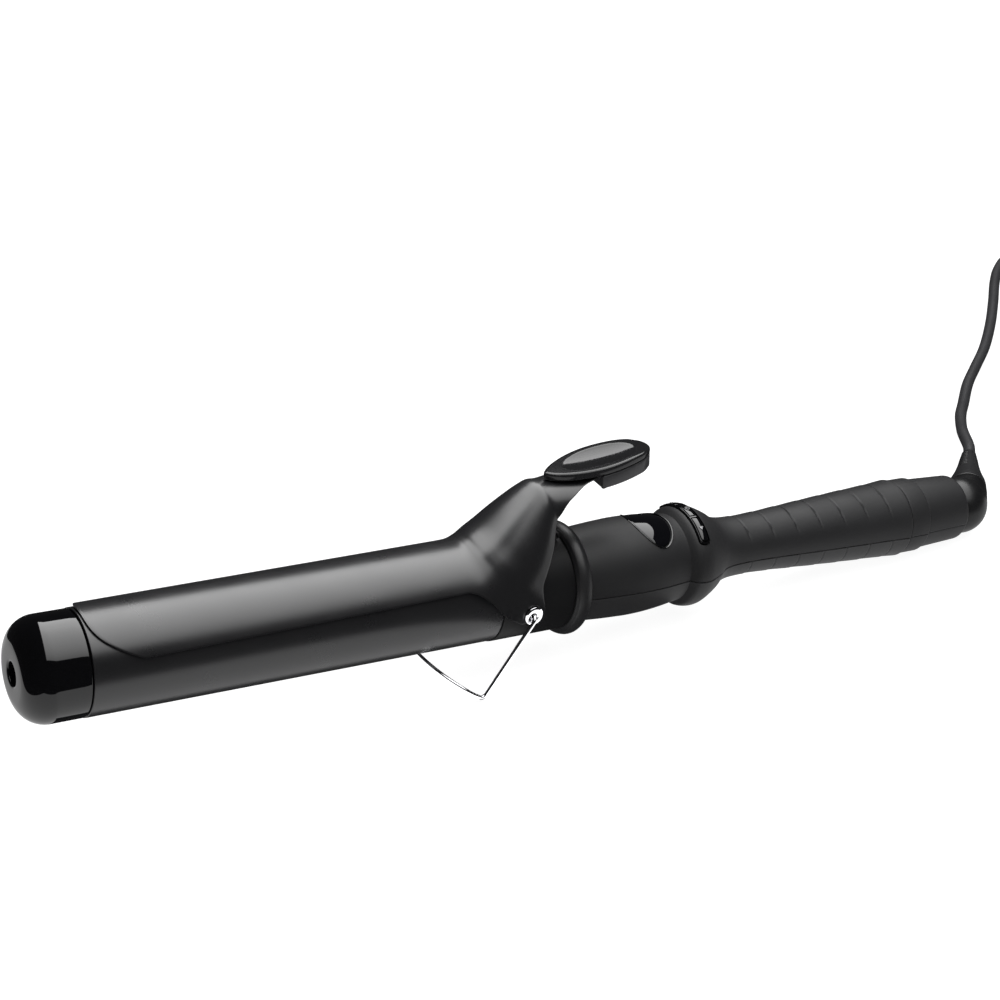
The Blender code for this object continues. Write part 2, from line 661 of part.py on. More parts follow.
# ---------------------------------------------------------------- kickstand
def stand_points():
    """The stand's wire: a bent end in each rivet, two legs and a bow between their feet."""
    pivot = pivot_axis.location.copy()
    down = Vector((-math.sin(STAND_ANGLE), 0, -math.cos(STAND_ANGLE)))
    forward = Vector((-math.cos(STAND_ANGLE), 0, math.sin(STAND_ANGLE)))
    side = Vector((0, 1, 0))
    half = []
    half.append(pivot + side * (rivet_inner + 0.0010))
    half.append(pivot + side * (STAND_HALF_WIDTH - WIRE_BEND))
    for i in range(1, 4):
        a = math.radians(30 * i)
        half.append(pivot + side * (STAND_HALF_WIDTH - WIRE_BEND + WIRE_BEND * math.sin(a))
                    + down * WIRE_BEND * (1 - math.cos(a)))
    for i in range(0, 4):
        a = math.radians(30 * i)
        half.append(pivot + side * STAND_HALF_WIDTH
                    + down * (STAND_LEG - WIRE_BEND + WIRE_BEND * math.sin(a))
                    + forward * WIRE_BEND * (1 - math.cos(a)))
    for i in range(1, 12):
        a = math.asin(WIRE_BEND / STAND_BOW) + (math.pi / 2 - math.asin(WIRE_BEND / STAND_BOW)) * i / 11
        half.append(pivot + down * STAND_LEG + side * STAND_HALF_WIDTH * math.cos(a)
                    + forward * STAND_BOW * math.sin(a))
    mirrored = [Vector((p.x, -p.y, p.z)) for p in reversed(half[:-1])]
    return half + mirrored


hang(tube("kickstand", stand_points(), WIRE_R, "chrome"))

# ---------------------------------------------------------------- handle shells
# the handle's outer radius along the iron: waist behind the ferrule (from its front end), flange
# and neck (from the buttons' middle), and grip (as a share of the way from the neck to its end)
HANDLE_OUTLINE = (
    (0.0000, 0.0178), (0.0050, 0.0182), (0.0120, 0.0187), (0.0180, 0.0190), (0.0240, 0.0192),
    (0.0310, 0.0190), (0.0380, 0.0184), (0.0440, 0.0176), (0.0473, 0.0173),
)
FLANGE_OUTLINE = (
    (-0.0049, 0.0183), (-0.0030, 0.0196), (0.0000, 0.0202), (0.0030, 0.0198), (0.0067, 0.0182),
    (0.0102, 0.0163), (0.0137, 0.0139), (0.0175, 0.0126), (0.0225, 0.0120),
)
GRIP_OUTLINE = (
    (0.108, 0.0119), (0.227, 0.0123), (0.346, 0.0129), (0.524, 0.0138),
    (0.703, 0.0146), (0.857, 0.0152), (1.000, 0.0160),
)


def handle_profile():
    """The closed profile of both shells together."""
    outer = [(shell_start + x, r) for x, r in HANDLE_OUTLINE]
    outer += [(flange_x + x, r) for x, r in FLANGE_OUTLINE]
    neck = outer[-1][0]
    outer += [(neck + (shell_end - neck) * share, r) for share, r in GRIP_OUTLINE]
    inner = [(x, min(r, 0.0178) - SHELL_WALL) for x, r in outer]
    inner[0] = (outer[0][0], tail_spigot_r + GAP)
    return outer + inner[::-1]


def handle_shell(name, side, look):
    """Half of the handle, above or below the iron's middle plane."""
    shell = turned(name, handle_profile(), look)
    low, high = (SEAM_Z + GAP / 2, 0.03) if side > 0 else (-0.03, SEAM_Z - GAP / 2)
    half = box(name + "_half", (shell_start - 0.01, -0.03, low), (shell_end + 0.01, 0.03, high))
    combine(shell, half, "INTERSECT")
    return shell


upper_shell = handle_shell("upper_shell", 1, "soft_touch")
lower_shell = handle_shell("lower_shell", -1, "soft_touch_lower")


def oval_prism(name, half_length, half_width):
    """An upright oval block through the display window."""
    points = [(half_length * math.cos(2 * math.pi * i / 28), half_width * math.sin(2 * math.pi * i / 28))
              for i in range(28)]
    return outline(name, [points], 0.010, Matrix.Translation((window_x, 0, 0.0175)))


combine(upper_shell, oval_prism("window_hole", WINDOW_HALF_LENGTH, WINDOW_HALF_WIDTH))
window_base = [(x, r) for x, r in ((shell_start + dx, r) for dx, r in HANDLE_OUTLINE)
               if window_x - 0.012 < x < window_x + 0.013]
display_window = turned("display_window",
                        window_base + [(x, r - 0.0014) for x, r in reversed(window_base)],
                        "lens_black")
combine(display_window,
        oval_prism("window_pane", WINDOW_HALF_LENGTH - GAP, WINDOW_HALF_WIDTH - GAP), "INTERSECT")
box("lcd_module", (window_x - 0.0065, -0.0090, 0.0095), (window_x + 0.0065, 0.0090, 0.0125),
    "lens_black")

# ---------------------------------------------------------------- buttons on the flange
slot = curved_strip("button_slot", flange_x - BEZEL_HALF_WIDTH - GAP, flange_x + BEZEL_HALF_WIDTH + GAP,
                    BEZEL_R + 0.002, BEZEL_DEPTH + 0.004, -BEZEL_ANGLE - 0.015, BEZEL_ANGLE + 0.015)
combine(upper_shell, slot)
button_bezel = curved_strip("button_bezel", flange_x - BEZEL_HALF_WIDTH, flange_x + BEZEL_HALF_WIDTH,
                            BEZEL_R, BEZEL_DEPTH, -BEZEL_ANGLE, BEZEL_ANGLE, "gloss_black")
BUTTONS = (("down_button", -46, -16), ("power_button", -13, 13), ("up_button", 16, 46))
for name, low, high in BUTTONS:
    hole = curved_strip(name + "_hole", flange_x - BUTTON_HALF_WIDTH - GAP,
                        flange_x + BUTTON_HALF_WIDTH + GAP, BEZEL_R + 0.001, BEZEL_DEPTH + 0.003,
                        math.radians(low) - GAP / BEZEL_R, math.radians(high) + GAP / BEZEL_R)
    combine(button_bezel, hole)
    curved_strip(name, flange_x - BUTTON_HALF_WIDTH, flange_x + BUTTON_HALF_WIDTH,
                 BEZEL_R + BUTTON_RISE, BEZEL_DEPTH - BUTTON_TRAVEL,
                 math.radians(low), math.radians(high), "gloss_black")

# ---------------------------------------------------------------- electronics
board_z = 0.0030
box("circuit_board", (shell_start + 0.0080, -0.0110, board_z),
    (flange_x + 0.0060, 0.0110, board_z + 0.0016), "board_green")
box("triac", (shell_start + 0.0120, -0.0050, board_z - 0.0045),
    (shell_start + 0.0220, 0.0050, board_z - GAP), "gloss_black")
box("display_driver", (window_x - 0.0050, -0.0050, board_z + 0.0016 + GAP),
    (window_x + 0.0050, 0.0050, board_z + 0.0034), "gloss_black")
heater_end = HEATER_START + HEATER_LENGTH
for side, word in ((-1, "near"), (1, "far")):
    lead = [(heater_end + 0.0005, side * 0.0110, 0.0), (BARREL_LENGTH, side * 0.0110, -0.0020),
            (shell_start + 0.0040, side * 0.0080, -0.0030), (flange_x - 0.0137, side * 0.0090, -0.0050),
            (flange_x + 0.0133, side * 0.0060, -0.0020), (shell_end - 0.0035, side * 0.0050, 0.0)]
    tube(f"heater_lead_{word}", lead, LEAD_R, "ceramic")

# ---------------------------------------------------------------- tail band, sleeve, screws
turned("tail_band",
       [(band_start, SWIVEL_BORE), (band_start, BAND_R), (band_end - 0.0006, BAND_R),
        (band_end, BAND_R - 0.0006), (band_end, SWIVEL_BORE)], "soft_touch")
turned("tail_sleeve",
       [(sleeve_start, SWIVEL_BORE), (sleeve_start, SLEEVE_FRONT_R), (sleeve_end - 0.0012, SLEEVE_END_R),
        (sleeve_end, SLEEVE_END_R - 0.0010), (sleeve_end, SWIVEL_BORE)], "soft_touch")

# each screw through the lower shell: its place along the iron and the depth of its head's seat
SHELL_SCREWS = (("front", shell_start + 0.0200, 0.0086), ("middle", shell_end - 0.0600, 0.0072),
                ("rear", shell_end - 0.0150, 0.0086))
for word, x, seat in SHELL_SCREWS:
    combine(lower_shell, cylinder(f"screw_well_{word}", 0.0024, (x, 0, -0.030), (x, 0, 0.0030 - seat)))
    shell_screw = cylinder(f"shell_screw_{word}", 0.0020, (x, 0, -seat - 0.0016), (x, 0, -seat), "steel")
    shank = cylinder(f"screw_shank_{word}", 0.0011, (x, 0, -seat - 0.0008), (x, 0, 0.0060 - seat))
    combine(shell_screw, shank, "UNION")

# ---------------------------------------------------------------- swivel
ball_x = sleeve_end + BALL_AHEAD
stem_start = band_start + 0.0040
holder_r = SWIVEL_BORE - GAP
turned("contact_holder",
       [(stem_start - 0.0040, 0), (stem_start - 0.0040, holder_r), (stem_start - 0.0010, holder_r),
        (stem_start - 0.0010, 0)], "board_green", SMALL_ROUND)
for x, word in ((stem_start + 0.0030, "line"), (stem_start + 0.0080, "neutral")):
    turned(f"contact_ring_{word}",
           [(x, STEM_R + GAP), (x, holder_r), (x + 0.0020, holder_r), (x + 0.0020, STEM_R + GAP)],
           "brass", SMALL_ROUND)


def elbow_profile():
    """The swivel's stem and the ball behind it."""
    neck = [(ball_x - BALL_R * math.cos(a), BALL_R * math.sin(a))
            for a in (math.radians(d) for d in (42, 55, 68, 81, 94, 107, 120, 133, 146, 158, 169))]
    return [(stem_start, 0), (stem_start, STEM_R), (neck[0][0] - 0.0010, STEM_R), *neck, (ball_x + BALL_R, 0)]


swivel_elbow = turned("swivel_elbow", elbow_profile(), "soft_touch", 32)
crossing = Vector((ball_x + BOSS_AHEAD, 0, 0))
away = Vector((math.cos(ELBOW_ANGLE), math.sin(ELBOW_ANGLE), 0))
elbow_boss = cylinder("elbow_boss", BOSS_R, crossing, crossing + away * BOSS_REACH, None, 24)
combine(swivel_elbow, elbow_boss, "UNION")

relief_place = Matrix.Translation(crossing) @ Matrix.Rotation(ELBOW_ANGLE, 4, "Z")
relief_start = BOSS_REACH + GAP
relief_profile = [(relief_start, 0), (relief_start, RELIEF_R), (relief_start + 0.0090, RELIEF_R - 0.0011)]
relief_profile += [(relief_start + 0.0130 + (RELIEF_END - relief_start - 0.0130) * i / 4,
                    RELIEF_R - 0.0020 - (RELIEF_R - 0.0020 - RELIEF_END_R) * i / 4) for i in range(5)]
relief_profile += [(RELIEF_END, 0)]
strain_relief = turned("strain_relief", relief_profile, "rubber_black", 24, relief_place)

# ---------------------------------------------------------------- stance
# the iron rests on the foot of its stand and on the end of its tail sleeve
leg = STAND_LEG * Vector((-math.sin(STAND_ANGLE), 0, -math.cos(STAND_ANGLE)))
foot = pivot_axis.location + leg
tail = Vector((sleeve_end - 0.0012, 0, -SLEEVE_END_R))
rise, run = foot.z - tail.z, tail.x - foot.x
tilt = math.asin(WIRE_R / math.hypot(rise, run)) + math.atan2(-rise, run)
height = tail.x * math.sin(tilt) - tail.z * math.cos(tilt)
iron_axes.rotation_euler = (0, tilt, 0)
iron_axes.location = (0, 0, height)


def middle_of_box(names_left_out):
    """The middle of the parts' box along X and Y, without the named ones."""
    bpy.context.view_layer.update()
    graph = bpy.context.evaluated_depsgraph_get()
    low, high = [math.inf, math.inf], [-math.inf, -math.inf]
    for ob in parts.objects:
        if ob.type == "EMPTY" or ob.name in names_left_out:
            continue
        evaluated = ob.evaluated_get(graph)
        for vert in evaluated.to_mesh().vertices:
            world = evaluated.matrix_world @ vert.co
            for axis in (0, 1):
                low[axis] = min(low[axis], world[axis])
                high[axis] = max(high[axis], world[axis])
        evaluated.to_mesh_clear()
    return [(a + b) / 2 for a, b in zip(low, high)]


offset = middle_of_box({"strain_relief"})
iron_axes.location.x -= offset[0]
iron_axes.location.y -= offset[1]
bpy.context.view_layer.update()

# ---------------------------------------------------------------- cord, coil and plug
mouth = iron_axes.matrix_world @ (crossing + away * (RELIEF_END + GAP))
drop = mouth.z / ROUTE_MOUTH_HEIGHT
route = [mouth] + [Vector((mouth.x + x, mouth.y + y, z * drop if z > ROUTE_LIES else z))
                   for x, y, z in CORD_ROUTE]
tube("mains_cord", smooth_path(route, CORD_STEP), CORD_R, "rubber_black", None)

coil_middle = Vector((mouth.x + COIL_CENTRE[0], mouth.y + COIL_CENTRE[1], 0))
coil_low = TIE_THICKNESS + GAP
coil_place = Matrix.Translation(coil_middle) @ Matrix.Rotation(-math.pi / 2, 4, "Y")
coil_inner, coil_outer = COIL_R - COIL_HALF_WIDTH, COIL_R + COIL_HALF_WIDTH
coil_top = coil_low + COIL_HEIGHT
cord_coil = turned("cord_coil", [(coil_low, coil_inner), (coil_low, coil_outer), (coil_top, coil_outer),
                                 (coil_top, coil_inner)], "rubber_black", 32, coil_place)
cord_coil.parent = None

tie_angle = math.radians(-60)
tie_gap = 0.0004
tie_place = (Matrix.Translation(coil_middle) @ Matrix.Rotation(tie_angle, 4, "Z")
             @ Matrix.Rotation(math.pi / 2, 4, "X"))
tie_low, tie_high = coil_low - tie_gap, coil_top + tie_gap
tie_in, tie_out = coil_inner - 0.0012, coil_outer + tie_gap


def rectangle(low, high):
    """The corners of a rectangle."""
    return [low, (high[0], low[1]), high, (low[0], high[1])]


cord_tie = outline("cord_tie",
                   [rectangle((tie_in - TIE_THICKNESS, tie_low - TIE_THICKNESS + tie_gap),
                              (tie_out + TIE_THICKNESS, tie_high + TIE_THICKNESS)),
                    rectangle((tie_in, tie_low), (tie_out, tie_high))[::-1]],
                   TIE_WIDTH / 2, tie_place, "rubber_black")
cord_tie.parent = None

plug_z = coil_top + GAP + PLUG_HEIGHT / 2
plug_turn = Matrix.Rotation(math.radians(PLUG_HEADING), 4, "Z")
plug_place = Matrix.Translation((coil_middle.x + PLUG_OFFSET[0], coil_middle.y + PLUG_OFFSET[1], plug_z)) @ plug_turn
plug_half = PLUG_LENGTH / 2


def plug_outline():
    """The plug's body seen from above: narrow at the cord, wide at the pins."""
    waist = 0.0055
    return [(-plug_half, -waist), (-plug_half * 0.35, -waist * 1.35), (plug_half * 0.25, -PLUG_WIDTH / 2),
            (plug_half, -PLUG_WIDTH / 2), (plug_half, PLUG_WIDTH / 2), (plug_half * 0.25, PLUG_WIDTH / 2),
            (-plug_half * 0.35, waist * 1.35), (-plug_half, waist)]


plug_body = outline("plug_body", [plug_outline()], PLUG_HEIGHT / 2, plug_place, "rubber_black")
plug_body.parent = None
soften(plug_body, 0.0018, 2, 50)
for side, word in ((-1, "line"), (1, "neutral")):
    start = plug_place @ Vector((plug_half + GAP, side * PIN_SPACING / 2, 0))
    end = plug_place @ Vector((plug_half + PIN_LENGTH, side * PIN_SPACING / 2, 0))
    pin = cylinder(f"plug_pin_{word}", PIN_R, start, end, "brass", 48)
    pin.parent = None

# the cord's last stretch: one even bend from the coil's top up into the plug
tail_end = plug_place @ Vector((-plug_half - GAP, 0, 0))
hub = tail_end - plug_turn @ Vector((0.0060, CORD_BEND, 0))
last = []
for step in range(7):
    share = step / 6
    angle = math.radians(262 + (PLUG_HEADING + 90 - 262) * share)
    low = coil_top + CORD_R + GAP
    last.append(Vector((hub.x + CORD_BEND * math.cos(angle), hub.y + CORD_BEND * math.sin(angle),
                        low + (plug_z - low) * share * share * (3 - 2 * share))))
last += [tail_end - plug_turn @ Vector((0.0030, 0, 0)), tail_end]
tube("plug_cord", smooth_path(last, CORD_STEP), CORD_R, "rubber_black", None)
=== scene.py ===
"""Looks of the curling iron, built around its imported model."""
import json
import math
from math import cos, pi, radians, sin, sqrt

import bmesh
import bpy
import numpy as np
from mathutils import Matrix, Vector


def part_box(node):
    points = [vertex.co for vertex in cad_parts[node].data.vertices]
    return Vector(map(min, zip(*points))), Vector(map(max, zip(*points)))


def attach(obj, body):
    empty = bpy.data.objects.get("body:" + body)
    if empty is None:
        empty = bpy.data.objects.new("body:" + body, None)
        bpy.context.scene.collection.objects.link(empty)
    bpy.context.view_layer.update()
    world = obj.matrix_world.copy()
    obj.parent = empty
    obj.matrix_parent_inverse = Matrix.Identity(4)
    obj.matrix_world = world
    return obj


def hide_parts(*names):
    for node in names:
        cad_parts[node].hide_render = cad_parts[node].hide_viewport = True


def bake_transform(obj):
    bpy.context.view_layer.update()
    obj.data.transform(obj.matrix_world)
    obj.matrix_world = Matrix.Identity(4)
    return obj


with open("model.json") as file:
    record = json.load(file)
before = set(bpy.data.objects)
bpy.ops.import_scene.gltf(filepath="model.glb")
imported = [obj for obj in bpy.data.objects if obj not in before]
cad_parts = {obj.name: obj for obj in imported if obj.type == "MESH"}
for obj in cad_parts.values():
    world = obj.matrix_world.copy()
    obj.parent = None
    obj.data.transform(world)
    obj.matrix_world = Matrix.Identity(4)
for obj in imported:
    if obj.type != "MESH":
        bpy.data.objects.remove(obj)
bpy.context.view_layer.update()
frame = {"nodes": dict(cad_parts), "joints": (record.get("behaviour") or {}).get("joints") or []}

# ------------------------ the iron's own axes
# X along the iron from the joint of cap and barrel (0) to the tail, +Y away from the camera
JOINTS = {joint["name"]: joint for joint in frame["joints"]}
BARREL_LENGTH = 0.1580
PIVOT = Vector((BARREL_LENGTH + 0.0115, 0, -0.0008))
along = Vector(JOINTS["cord_swivel"]["axis"]).normalized()
over = Vector((-along.z, 0, along.x))
turn = Matrix((along, (0, 1, 0), over)).transposed()
IRON = Matrix.Translation(Vector(JOINTS["clamp_hinge"]["pos_m"]) - turn @ PIVOT) @ turn.to_4x4()

BARREL_R = 0.0190
CAP_R = 0.0188
BORE_R = 0.0178
SEAT_R = 0.0193
FERRULE_R = 0.0221
SEAT_END = 0.1887
FERRULE_START, FERRULE_END = 0.1890, 0.1956
SHELL_START, SHELL_END = 0.1959, 0.3553
FLANGE_X = SHELL_START + 0.0528
WINDOW_X = SHELL_START + 0.0347
SEAM_Z = -0.0013
BAND_START, BAND_END = 0.3556, 0.3654
SLEEVE_START, SLEEVE_END = 0.3657, 0.3884
SWIVEL_BORE = 0.0118
BALL_X = SLEEVE_END + 0.0058
ELBOW_ANGLE = radians(48)
CROSSING = Vector((BALL_X + 0.0045, 0, 0))
AWAY = Vector((cos(ELBOW_ANGLE), sin(ELBOW_ANGLE), 0))
CORD_R = 0.0027


# ------------------------ materials
def shader_node(tree, kind, **values):
    """A new shader node with these input values, an underscore standing for a space."""
    made = tree.nodes.new("ShaderNode" + kind)
    for name, value in values.items():
        made.inputs[name.replace("_", " ")].default_value = value
    return made


def material(name, colour, roughness, metallic=0.0, specular=0.5, grain=1500.0, bump=0.05,
             spread=0.04, tint=0.12, painted_edge_highlight=0.0):
    """A surface whose roughness, tone and relief all vary a little with a fine grain."""
    mat = bpy.data.materials.new(name)
    mat.use_nodes = True
    nodes, links = mat.node_tree.nodes, mat.node_tree.links
    shader = nodes["Principled BSDF"]
    shader.inputs["Metallic"].default_value = metallic
    shader.inputs["Specular IOR Level"].default_value = specular
    where = shader_node(mat.node_tree, "TexCoord")
    fine = shader_node(mat.node_tree, "TexNoise", Scale=grain, Detail=3.0)
    broad = shader_node(mat.node_tree, "TexNoise", Scale=60.0, Detail=4.0)
    links.new(where.outputs["Object"], fine.inputs["Vector"])
    links.new(where.outputs["Object"], broad.inputs["Vector"])
    rough = shader_node(mat.node_tree, "MapRange", From_Min=0.3, From_Max=0.7,
                        To_Min=max(0.0, roughness - spread), To_Max=roughness + spread)
    links.new(broad.outputs["Fac"], rough.inputs["Value"])
    links.new(rough.outputs["Result"], shader.inputs["Roughness"])
    ramp = shader_node(mat.node_tree, "ValToRGB")
    for stop, place, factor in zip(ramp.color_ramp.elements, (0.30, 0.72), (1 - tint, 1 + tint)):
        stop.position = place
        stop.color = (*[min(1, c * factor) for c in colour], 1)
    links.new(fine.outputs["Fac"], ramp.inputs["Fac"])
    tone = ramp.outputs["Color"]
    if painted_edge_highlight:
        # painted highlight: convex edges are painted paler, as if they catch the light
        edge = shader_node(mat.node_tree, "NewGeometry")
        edge_highlight_mask = shader_node(mat.node_tree, "MapRange", From_Min=0.52, From_Max=0.64, To_Max=painted_edge_highlight)
        mix = shader_node(mat.node_tree, "Mix")
        mix.data_type = "RGBA"
        mix.inputs["B"].default_value = (*[min(1, c * 2.2 + 0.02) for c in colour], 1)
        links.new(edge.outputs["Pointiness"], edge_highlight_mask.inputs["Value"])
        links.new(edge_highlight_mask.outputs["Result"], mix.inputs["Factor"])
        links.new(tone, mix.inputs["A"])
        tone = mix.outputs["Result"]
    links.new(tone, shader.inputs["Base Color"])
    relief = shader_node(mat.node_tree, "Bump", Strength=bump, Distance=0.0002)
    links.new(fine.outputs["Fac"], relief.inputs["Height"])
    links.new(relief.outputs["Normal"], shader.inputs["Normal"])
    return mat


SATIN = material("satin_coating", (0.010, 0.010, 0.011), 0.29, specular=0.92, grain=2600, bump=0.025,
                 spread=0.025)
# the seat's own dark plastic, its colour lowered further as painted shade where the barrel falls dark towards
# the ring
SEAT = material("seat_plastic_and_painted_shade", (0.006, 0.006, 0.0065), 0.50, specular=0.22, grain=2400)
GLOSS = material("gloss_plastic", (0.0025, 0.0025, 0.003), 0.035, specular=0.72, grain=500, bump=0.004,
                 spread=0.012)
# the soft-touch shells and the ring get a painted highlight on their convex edges
SHELL = material("soft_touch", (0.013, 0.013, 0.014), 0.54, specular=0.42, grain=3200, bump=0.10,
                 painted_edge_highlight=0.15)
# painted light: the lower shell takes a lighter copy of the soft-touch colour, standing in for light bounced up
# from the floor
LOWER_PAINTED_BOUNCE = material("soft_touch_lower", (0.019, 0.019, 0.020), 0.50, specular=0.46, grain=3200,
                 bump=0.10, painted_edge_highlight=0.15)
RING = material("ring_rubber", (0.014, 0.014, 0.015), 0.40, grain=1800, bump=0.12,
                painted_edge_highlight=0.2)
ELBOW = material("elbow_plastic", (0.006, 0.006, 0.0065), 0.34, grain=2600, bump=0.03)
THUMB = material("thumb_plastic", (0.014, 0.014, 0.015), 0.10, grain=900, bump=0.01,
                 spread=0.02)
SKIRT = material("skirt_plastic", (0.030, 0.030, 0.032), 0.34, grain=1600)
CHROME = material("chrome_wire", (0.78, 0.78, 0.80), 0.07, metallic=1.0, grain=900, bump=0.006,
                  spread=0.02, tint=0.03)
STEEL = material("steel", (0.50, 0.50, 0.51), 0.30, metallic=1.0, grain=1200)
ALUMINIUM = material("aluminium", (0.70, 0.70, 0.71), 0.40, metallic=1.0, grain=1200)
CERAMIC = material("ceramic", (0.80, 0.77, 0.71), 0.55, grain=900, bump=0.08)
BOARD = material("board_green", (0.02, 0.15, 0.07), 0.45, grain=700, bump=0.06)
CHIP = material("chip_black", (0.015, 0.015, 0.016), 0.40, bump=0.06)
BRASS = material("brass", (0.70, 0.53, 0.24), 0.28, metallic=1.0, grain=900, bump=0.03)
NICKEL = material("nickel", (0.66, 0.65, 0.62), 0.18, metallic=1.0, grain=900, bump=0.02)
RUBBER = material("cord_rubber", (0.026, 0.026, 0.028), 0.46, grain=2200, bump=0.10)
PLUG = material("plug_plastic", (0.022, 0.022, 0.024), 0.42, grain=2600, bump=0.12)
STRAP = material("strap_fabric", (0.018, 0.018, 0.020), 0.85, specular=0.3, grain=1100, bump=0.6)
ICON = material("icon_print", (0.42, 0.42, 0.43), 0.30, bump=0.02)
LENS = material("window_lens", (0.003, 0.003, 0.004), 0.02, specular=0.55, grain=300, bump=0.002,
                spread=0.008)


# ------------------------ mesh helpers
def mesh_from(name, verts, faces, sharp=32):
    """A closed mesh that faces out, smooth apart from its sharp edges."""
    mesh = bpy.data.meshes.new(name)
    mesh.from_pydata([tuple(v) for v in verts], [], [tuple(f) for f in faces])
    bm = bmesh.new()
    bm.from_mesh(mesh)
    bmesh.ops.remove_doubles(bm, verts=bm.verts, dist=0.000002)
    bmesh.ops.dissolve_degenerate(bm, edges=bm.edges, dist=0.0000005)
    bmesh.ops.recalc_face_normals(bm, faces=bm.faces)
    if bm.calc_volume(signed=True) < 0:
        bmesh.ops.reverse_faces(bm, faces=bm.faces)
    bm.to_mesh(mesh)
    bm.free()
    mesh.shade_smooth()
    mesh.set_sharp_from_angle(angle=radians(sharp))
    return mesh


def piece(name, mesh, mat, body="iron", slot=None, replaces=(), place=IRON):
    """Put a finished mesh on a body, standing for the CAD nodes that it replaces."""
    mesh.transform(place)
    ob = bpy.data.objects.new(name, mesh)
    bpy.context.scene.collection.objects.link(ob)
    ob.data.materials.append(mat)
    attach(ob, body)
    if replaces:
        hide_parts(*replaces)
    return ob


def rounded(points, radius, steps=4):
    """An open profile with its corners rounded."""
    points = [Vector(p) for p in points]
    found = [points[0]]
    for before, corner, after in zip(points, points[1:], points[2:]):
        a, b = before - corner, after - corner
        if a.length < 1e-9 or b.length < 1e-9:
            continue
        if a.angle(b) > radians(165):
            found.append(corner)
            continue
        reach = min(radius, 0.45 * a.length, 0.45 * b.length)
        start, end = corner + a.normalized() * reach, corner + b.normalized() * reach
        for i in range(steps + 1):
            t = i / steps
            found.append(start * (1 - t) ** 2 + corner * 2 * t * (1 - t) + end * t * t)
    found.append(points[-1])
    return found


def curve_through(points, step):
    """Points at an even step along a smooth curve through the given ones."""
    points = [Vector(p) for p in points]
    ends = [2 * points[0] - points[1], *points, 2 * points[-1] - points[-2]]
    dense = [points[0]]
    for before, start, end, after in zip(ends, ends[1:], ends[2:], ends[3:]):
        for part in range(1, 25):
            t = part / 24
            dense.append(0.5 * (2 * start + (end - before) * t
                                + (2 * before - 5 * start + 4 * end - after) * t ** 2
                                + (3 * start - before - 3 * end + after) * t ** 3))
    lengths = np.cumsum([0.0] + [(b - a).length for a, b in zip(dense, dense[1:])])
    count = max(2, round(lengths[-1] / step))
    table = np.array([tuple(p) for p in dense])
    at = np.linspace(0, lengths[-1], count + 1)
    return [Vector([float(np.interp(s, lengths, table[:, k])) for k in range(table.shape[1])])
            for s in at]


def grid_faces(rows, columns, wrap_rows=False, wrap_columns=True):
    """Quads over a grid of points stored row by row."""
    faces = []
    for i in range(rows if wrap_rows else rows - 1):
        for j in range(columns if wrap_columns else columns - 1):
            i2, j2 = (i + 1) % rows, (j + 1) % columns
            faces.append((i * columns + j, i2 * columns + j, i2 * columns + j2, i * columns + j2))
    return faces


def lathe(name, profile, steps=112, relief=None, sharp=32, extra=()):
    """A closed ring of (x, radius) points, or one that starts and ends on the axis, turned about X.

    relief(x, angle, radius) lowers the surface; angles run from the top towards the near side.
    """
    angles = sorted([2 * pi * i / steps for i in range(steps)] + list(extra))
    verts = []
    for x, radius in profile:
        for angle in angles:
            r = max(0.0, radius - (relief(x, angle, radius) if relief else 0.0))
            verts.append((x, -r * sin(angle), r * cos(angle)))
    open_ends = profile[0][1] == 0 and profile[-1][1] == 0
    return mesh_from(name, verts, grid_faces(len(profile), len(angles), not open_ends), sharp)


def ringed(name, outline, layers, height=None, place=None, sharp=32, sag=None):
    """A flat-edged body from a convex outline: rings inset from it at given depths, closed at both ends.

    layers are (share, inset, z) from the top's middle outwards, down the side and in along the bottom;
    share draws a ring towards the middle, and a share near 0 is the middle. height(x, y) lowers the first
    layers' face.
    """
    outline = [Vector(p) for p in outline]
    count = len(outline)
    normals = []
    for i in range(count):
        d = outline[(i + 1) % count] - outline[i - 1]
        normals.append(Vector((d.y, -d.x)).normalized())
    area = sum(a.x * b.y - b.x * a.y for a, b in zip(outline, outline[1:] + outline[:1]))
    if area < 0:
        normals = [-n for n in normals]
    middle = sum(outline, Vector((0, 0))) / count
    verts, faces = [], []
    for share, inset, z in layers:
        for p, n in zip(outline, normals):
            q = p - n * inset
            q = middle + (q - middle) * share
            lower = height(q.x, q.y) if height and z == 0 else 0.0
            lower += sag(q.x) * max(0.0, 1 + z / 0.0031) if sag else 0.0
            verts.append((q.x, q.y, z - lower))
    faces = grid_faces(len(layers), count)
    mesh = mesh_from(name, verts, faces, sharp)
    if place is not None:
        mesh.transform(place)
    return mesh


def tube(name, points, radius, mat, body, sides=3, **more):
    """A round wire along points given in the iron's axes or, with place, in others."""
    curve = bpy.data.curves.new(name, "CURVE")
    curve.dimensions = "3D"
    curve.bevel_depth = radius
    curve.bevel_resolution = sides
    curve.use_fill_caps = True
    spline = curve.splines.new("POLY")
    spline.points.add(len(points) - 1)
    for point, co in zip(spline.points, points):
        point.co = (*co, 1)
    spline.use_smooth = True
    return piece(name, curve, mat, body, **more)


def made_mesh(ob):
    """The mesh that an object's modifiers or its curve's bevel make."""
    bpy.context.view_layer.update()
    return bpy.data.meshes.new_from_object(ob.evaluated_get(bpy.context.evaluated_depsgraph_get()))


def boolean(ob, cutter, operation="DIFFERENCE"):
    """Apply a Boolean and drop the cutter."""
    mod = ob.modifiers.new("cut", "BOOLEAN")
    mod.operation = operation
    mod.object = cutter
    mod.solver = "EXACT"
    mesh = made_mesh(ob)
    ob.modifiers.clear()
    ob.data = mesh
    mesh.set_sharp_from_angle(angle=radians(32))
    bpy.data.objects.remove(cutter, do_unlink=True)


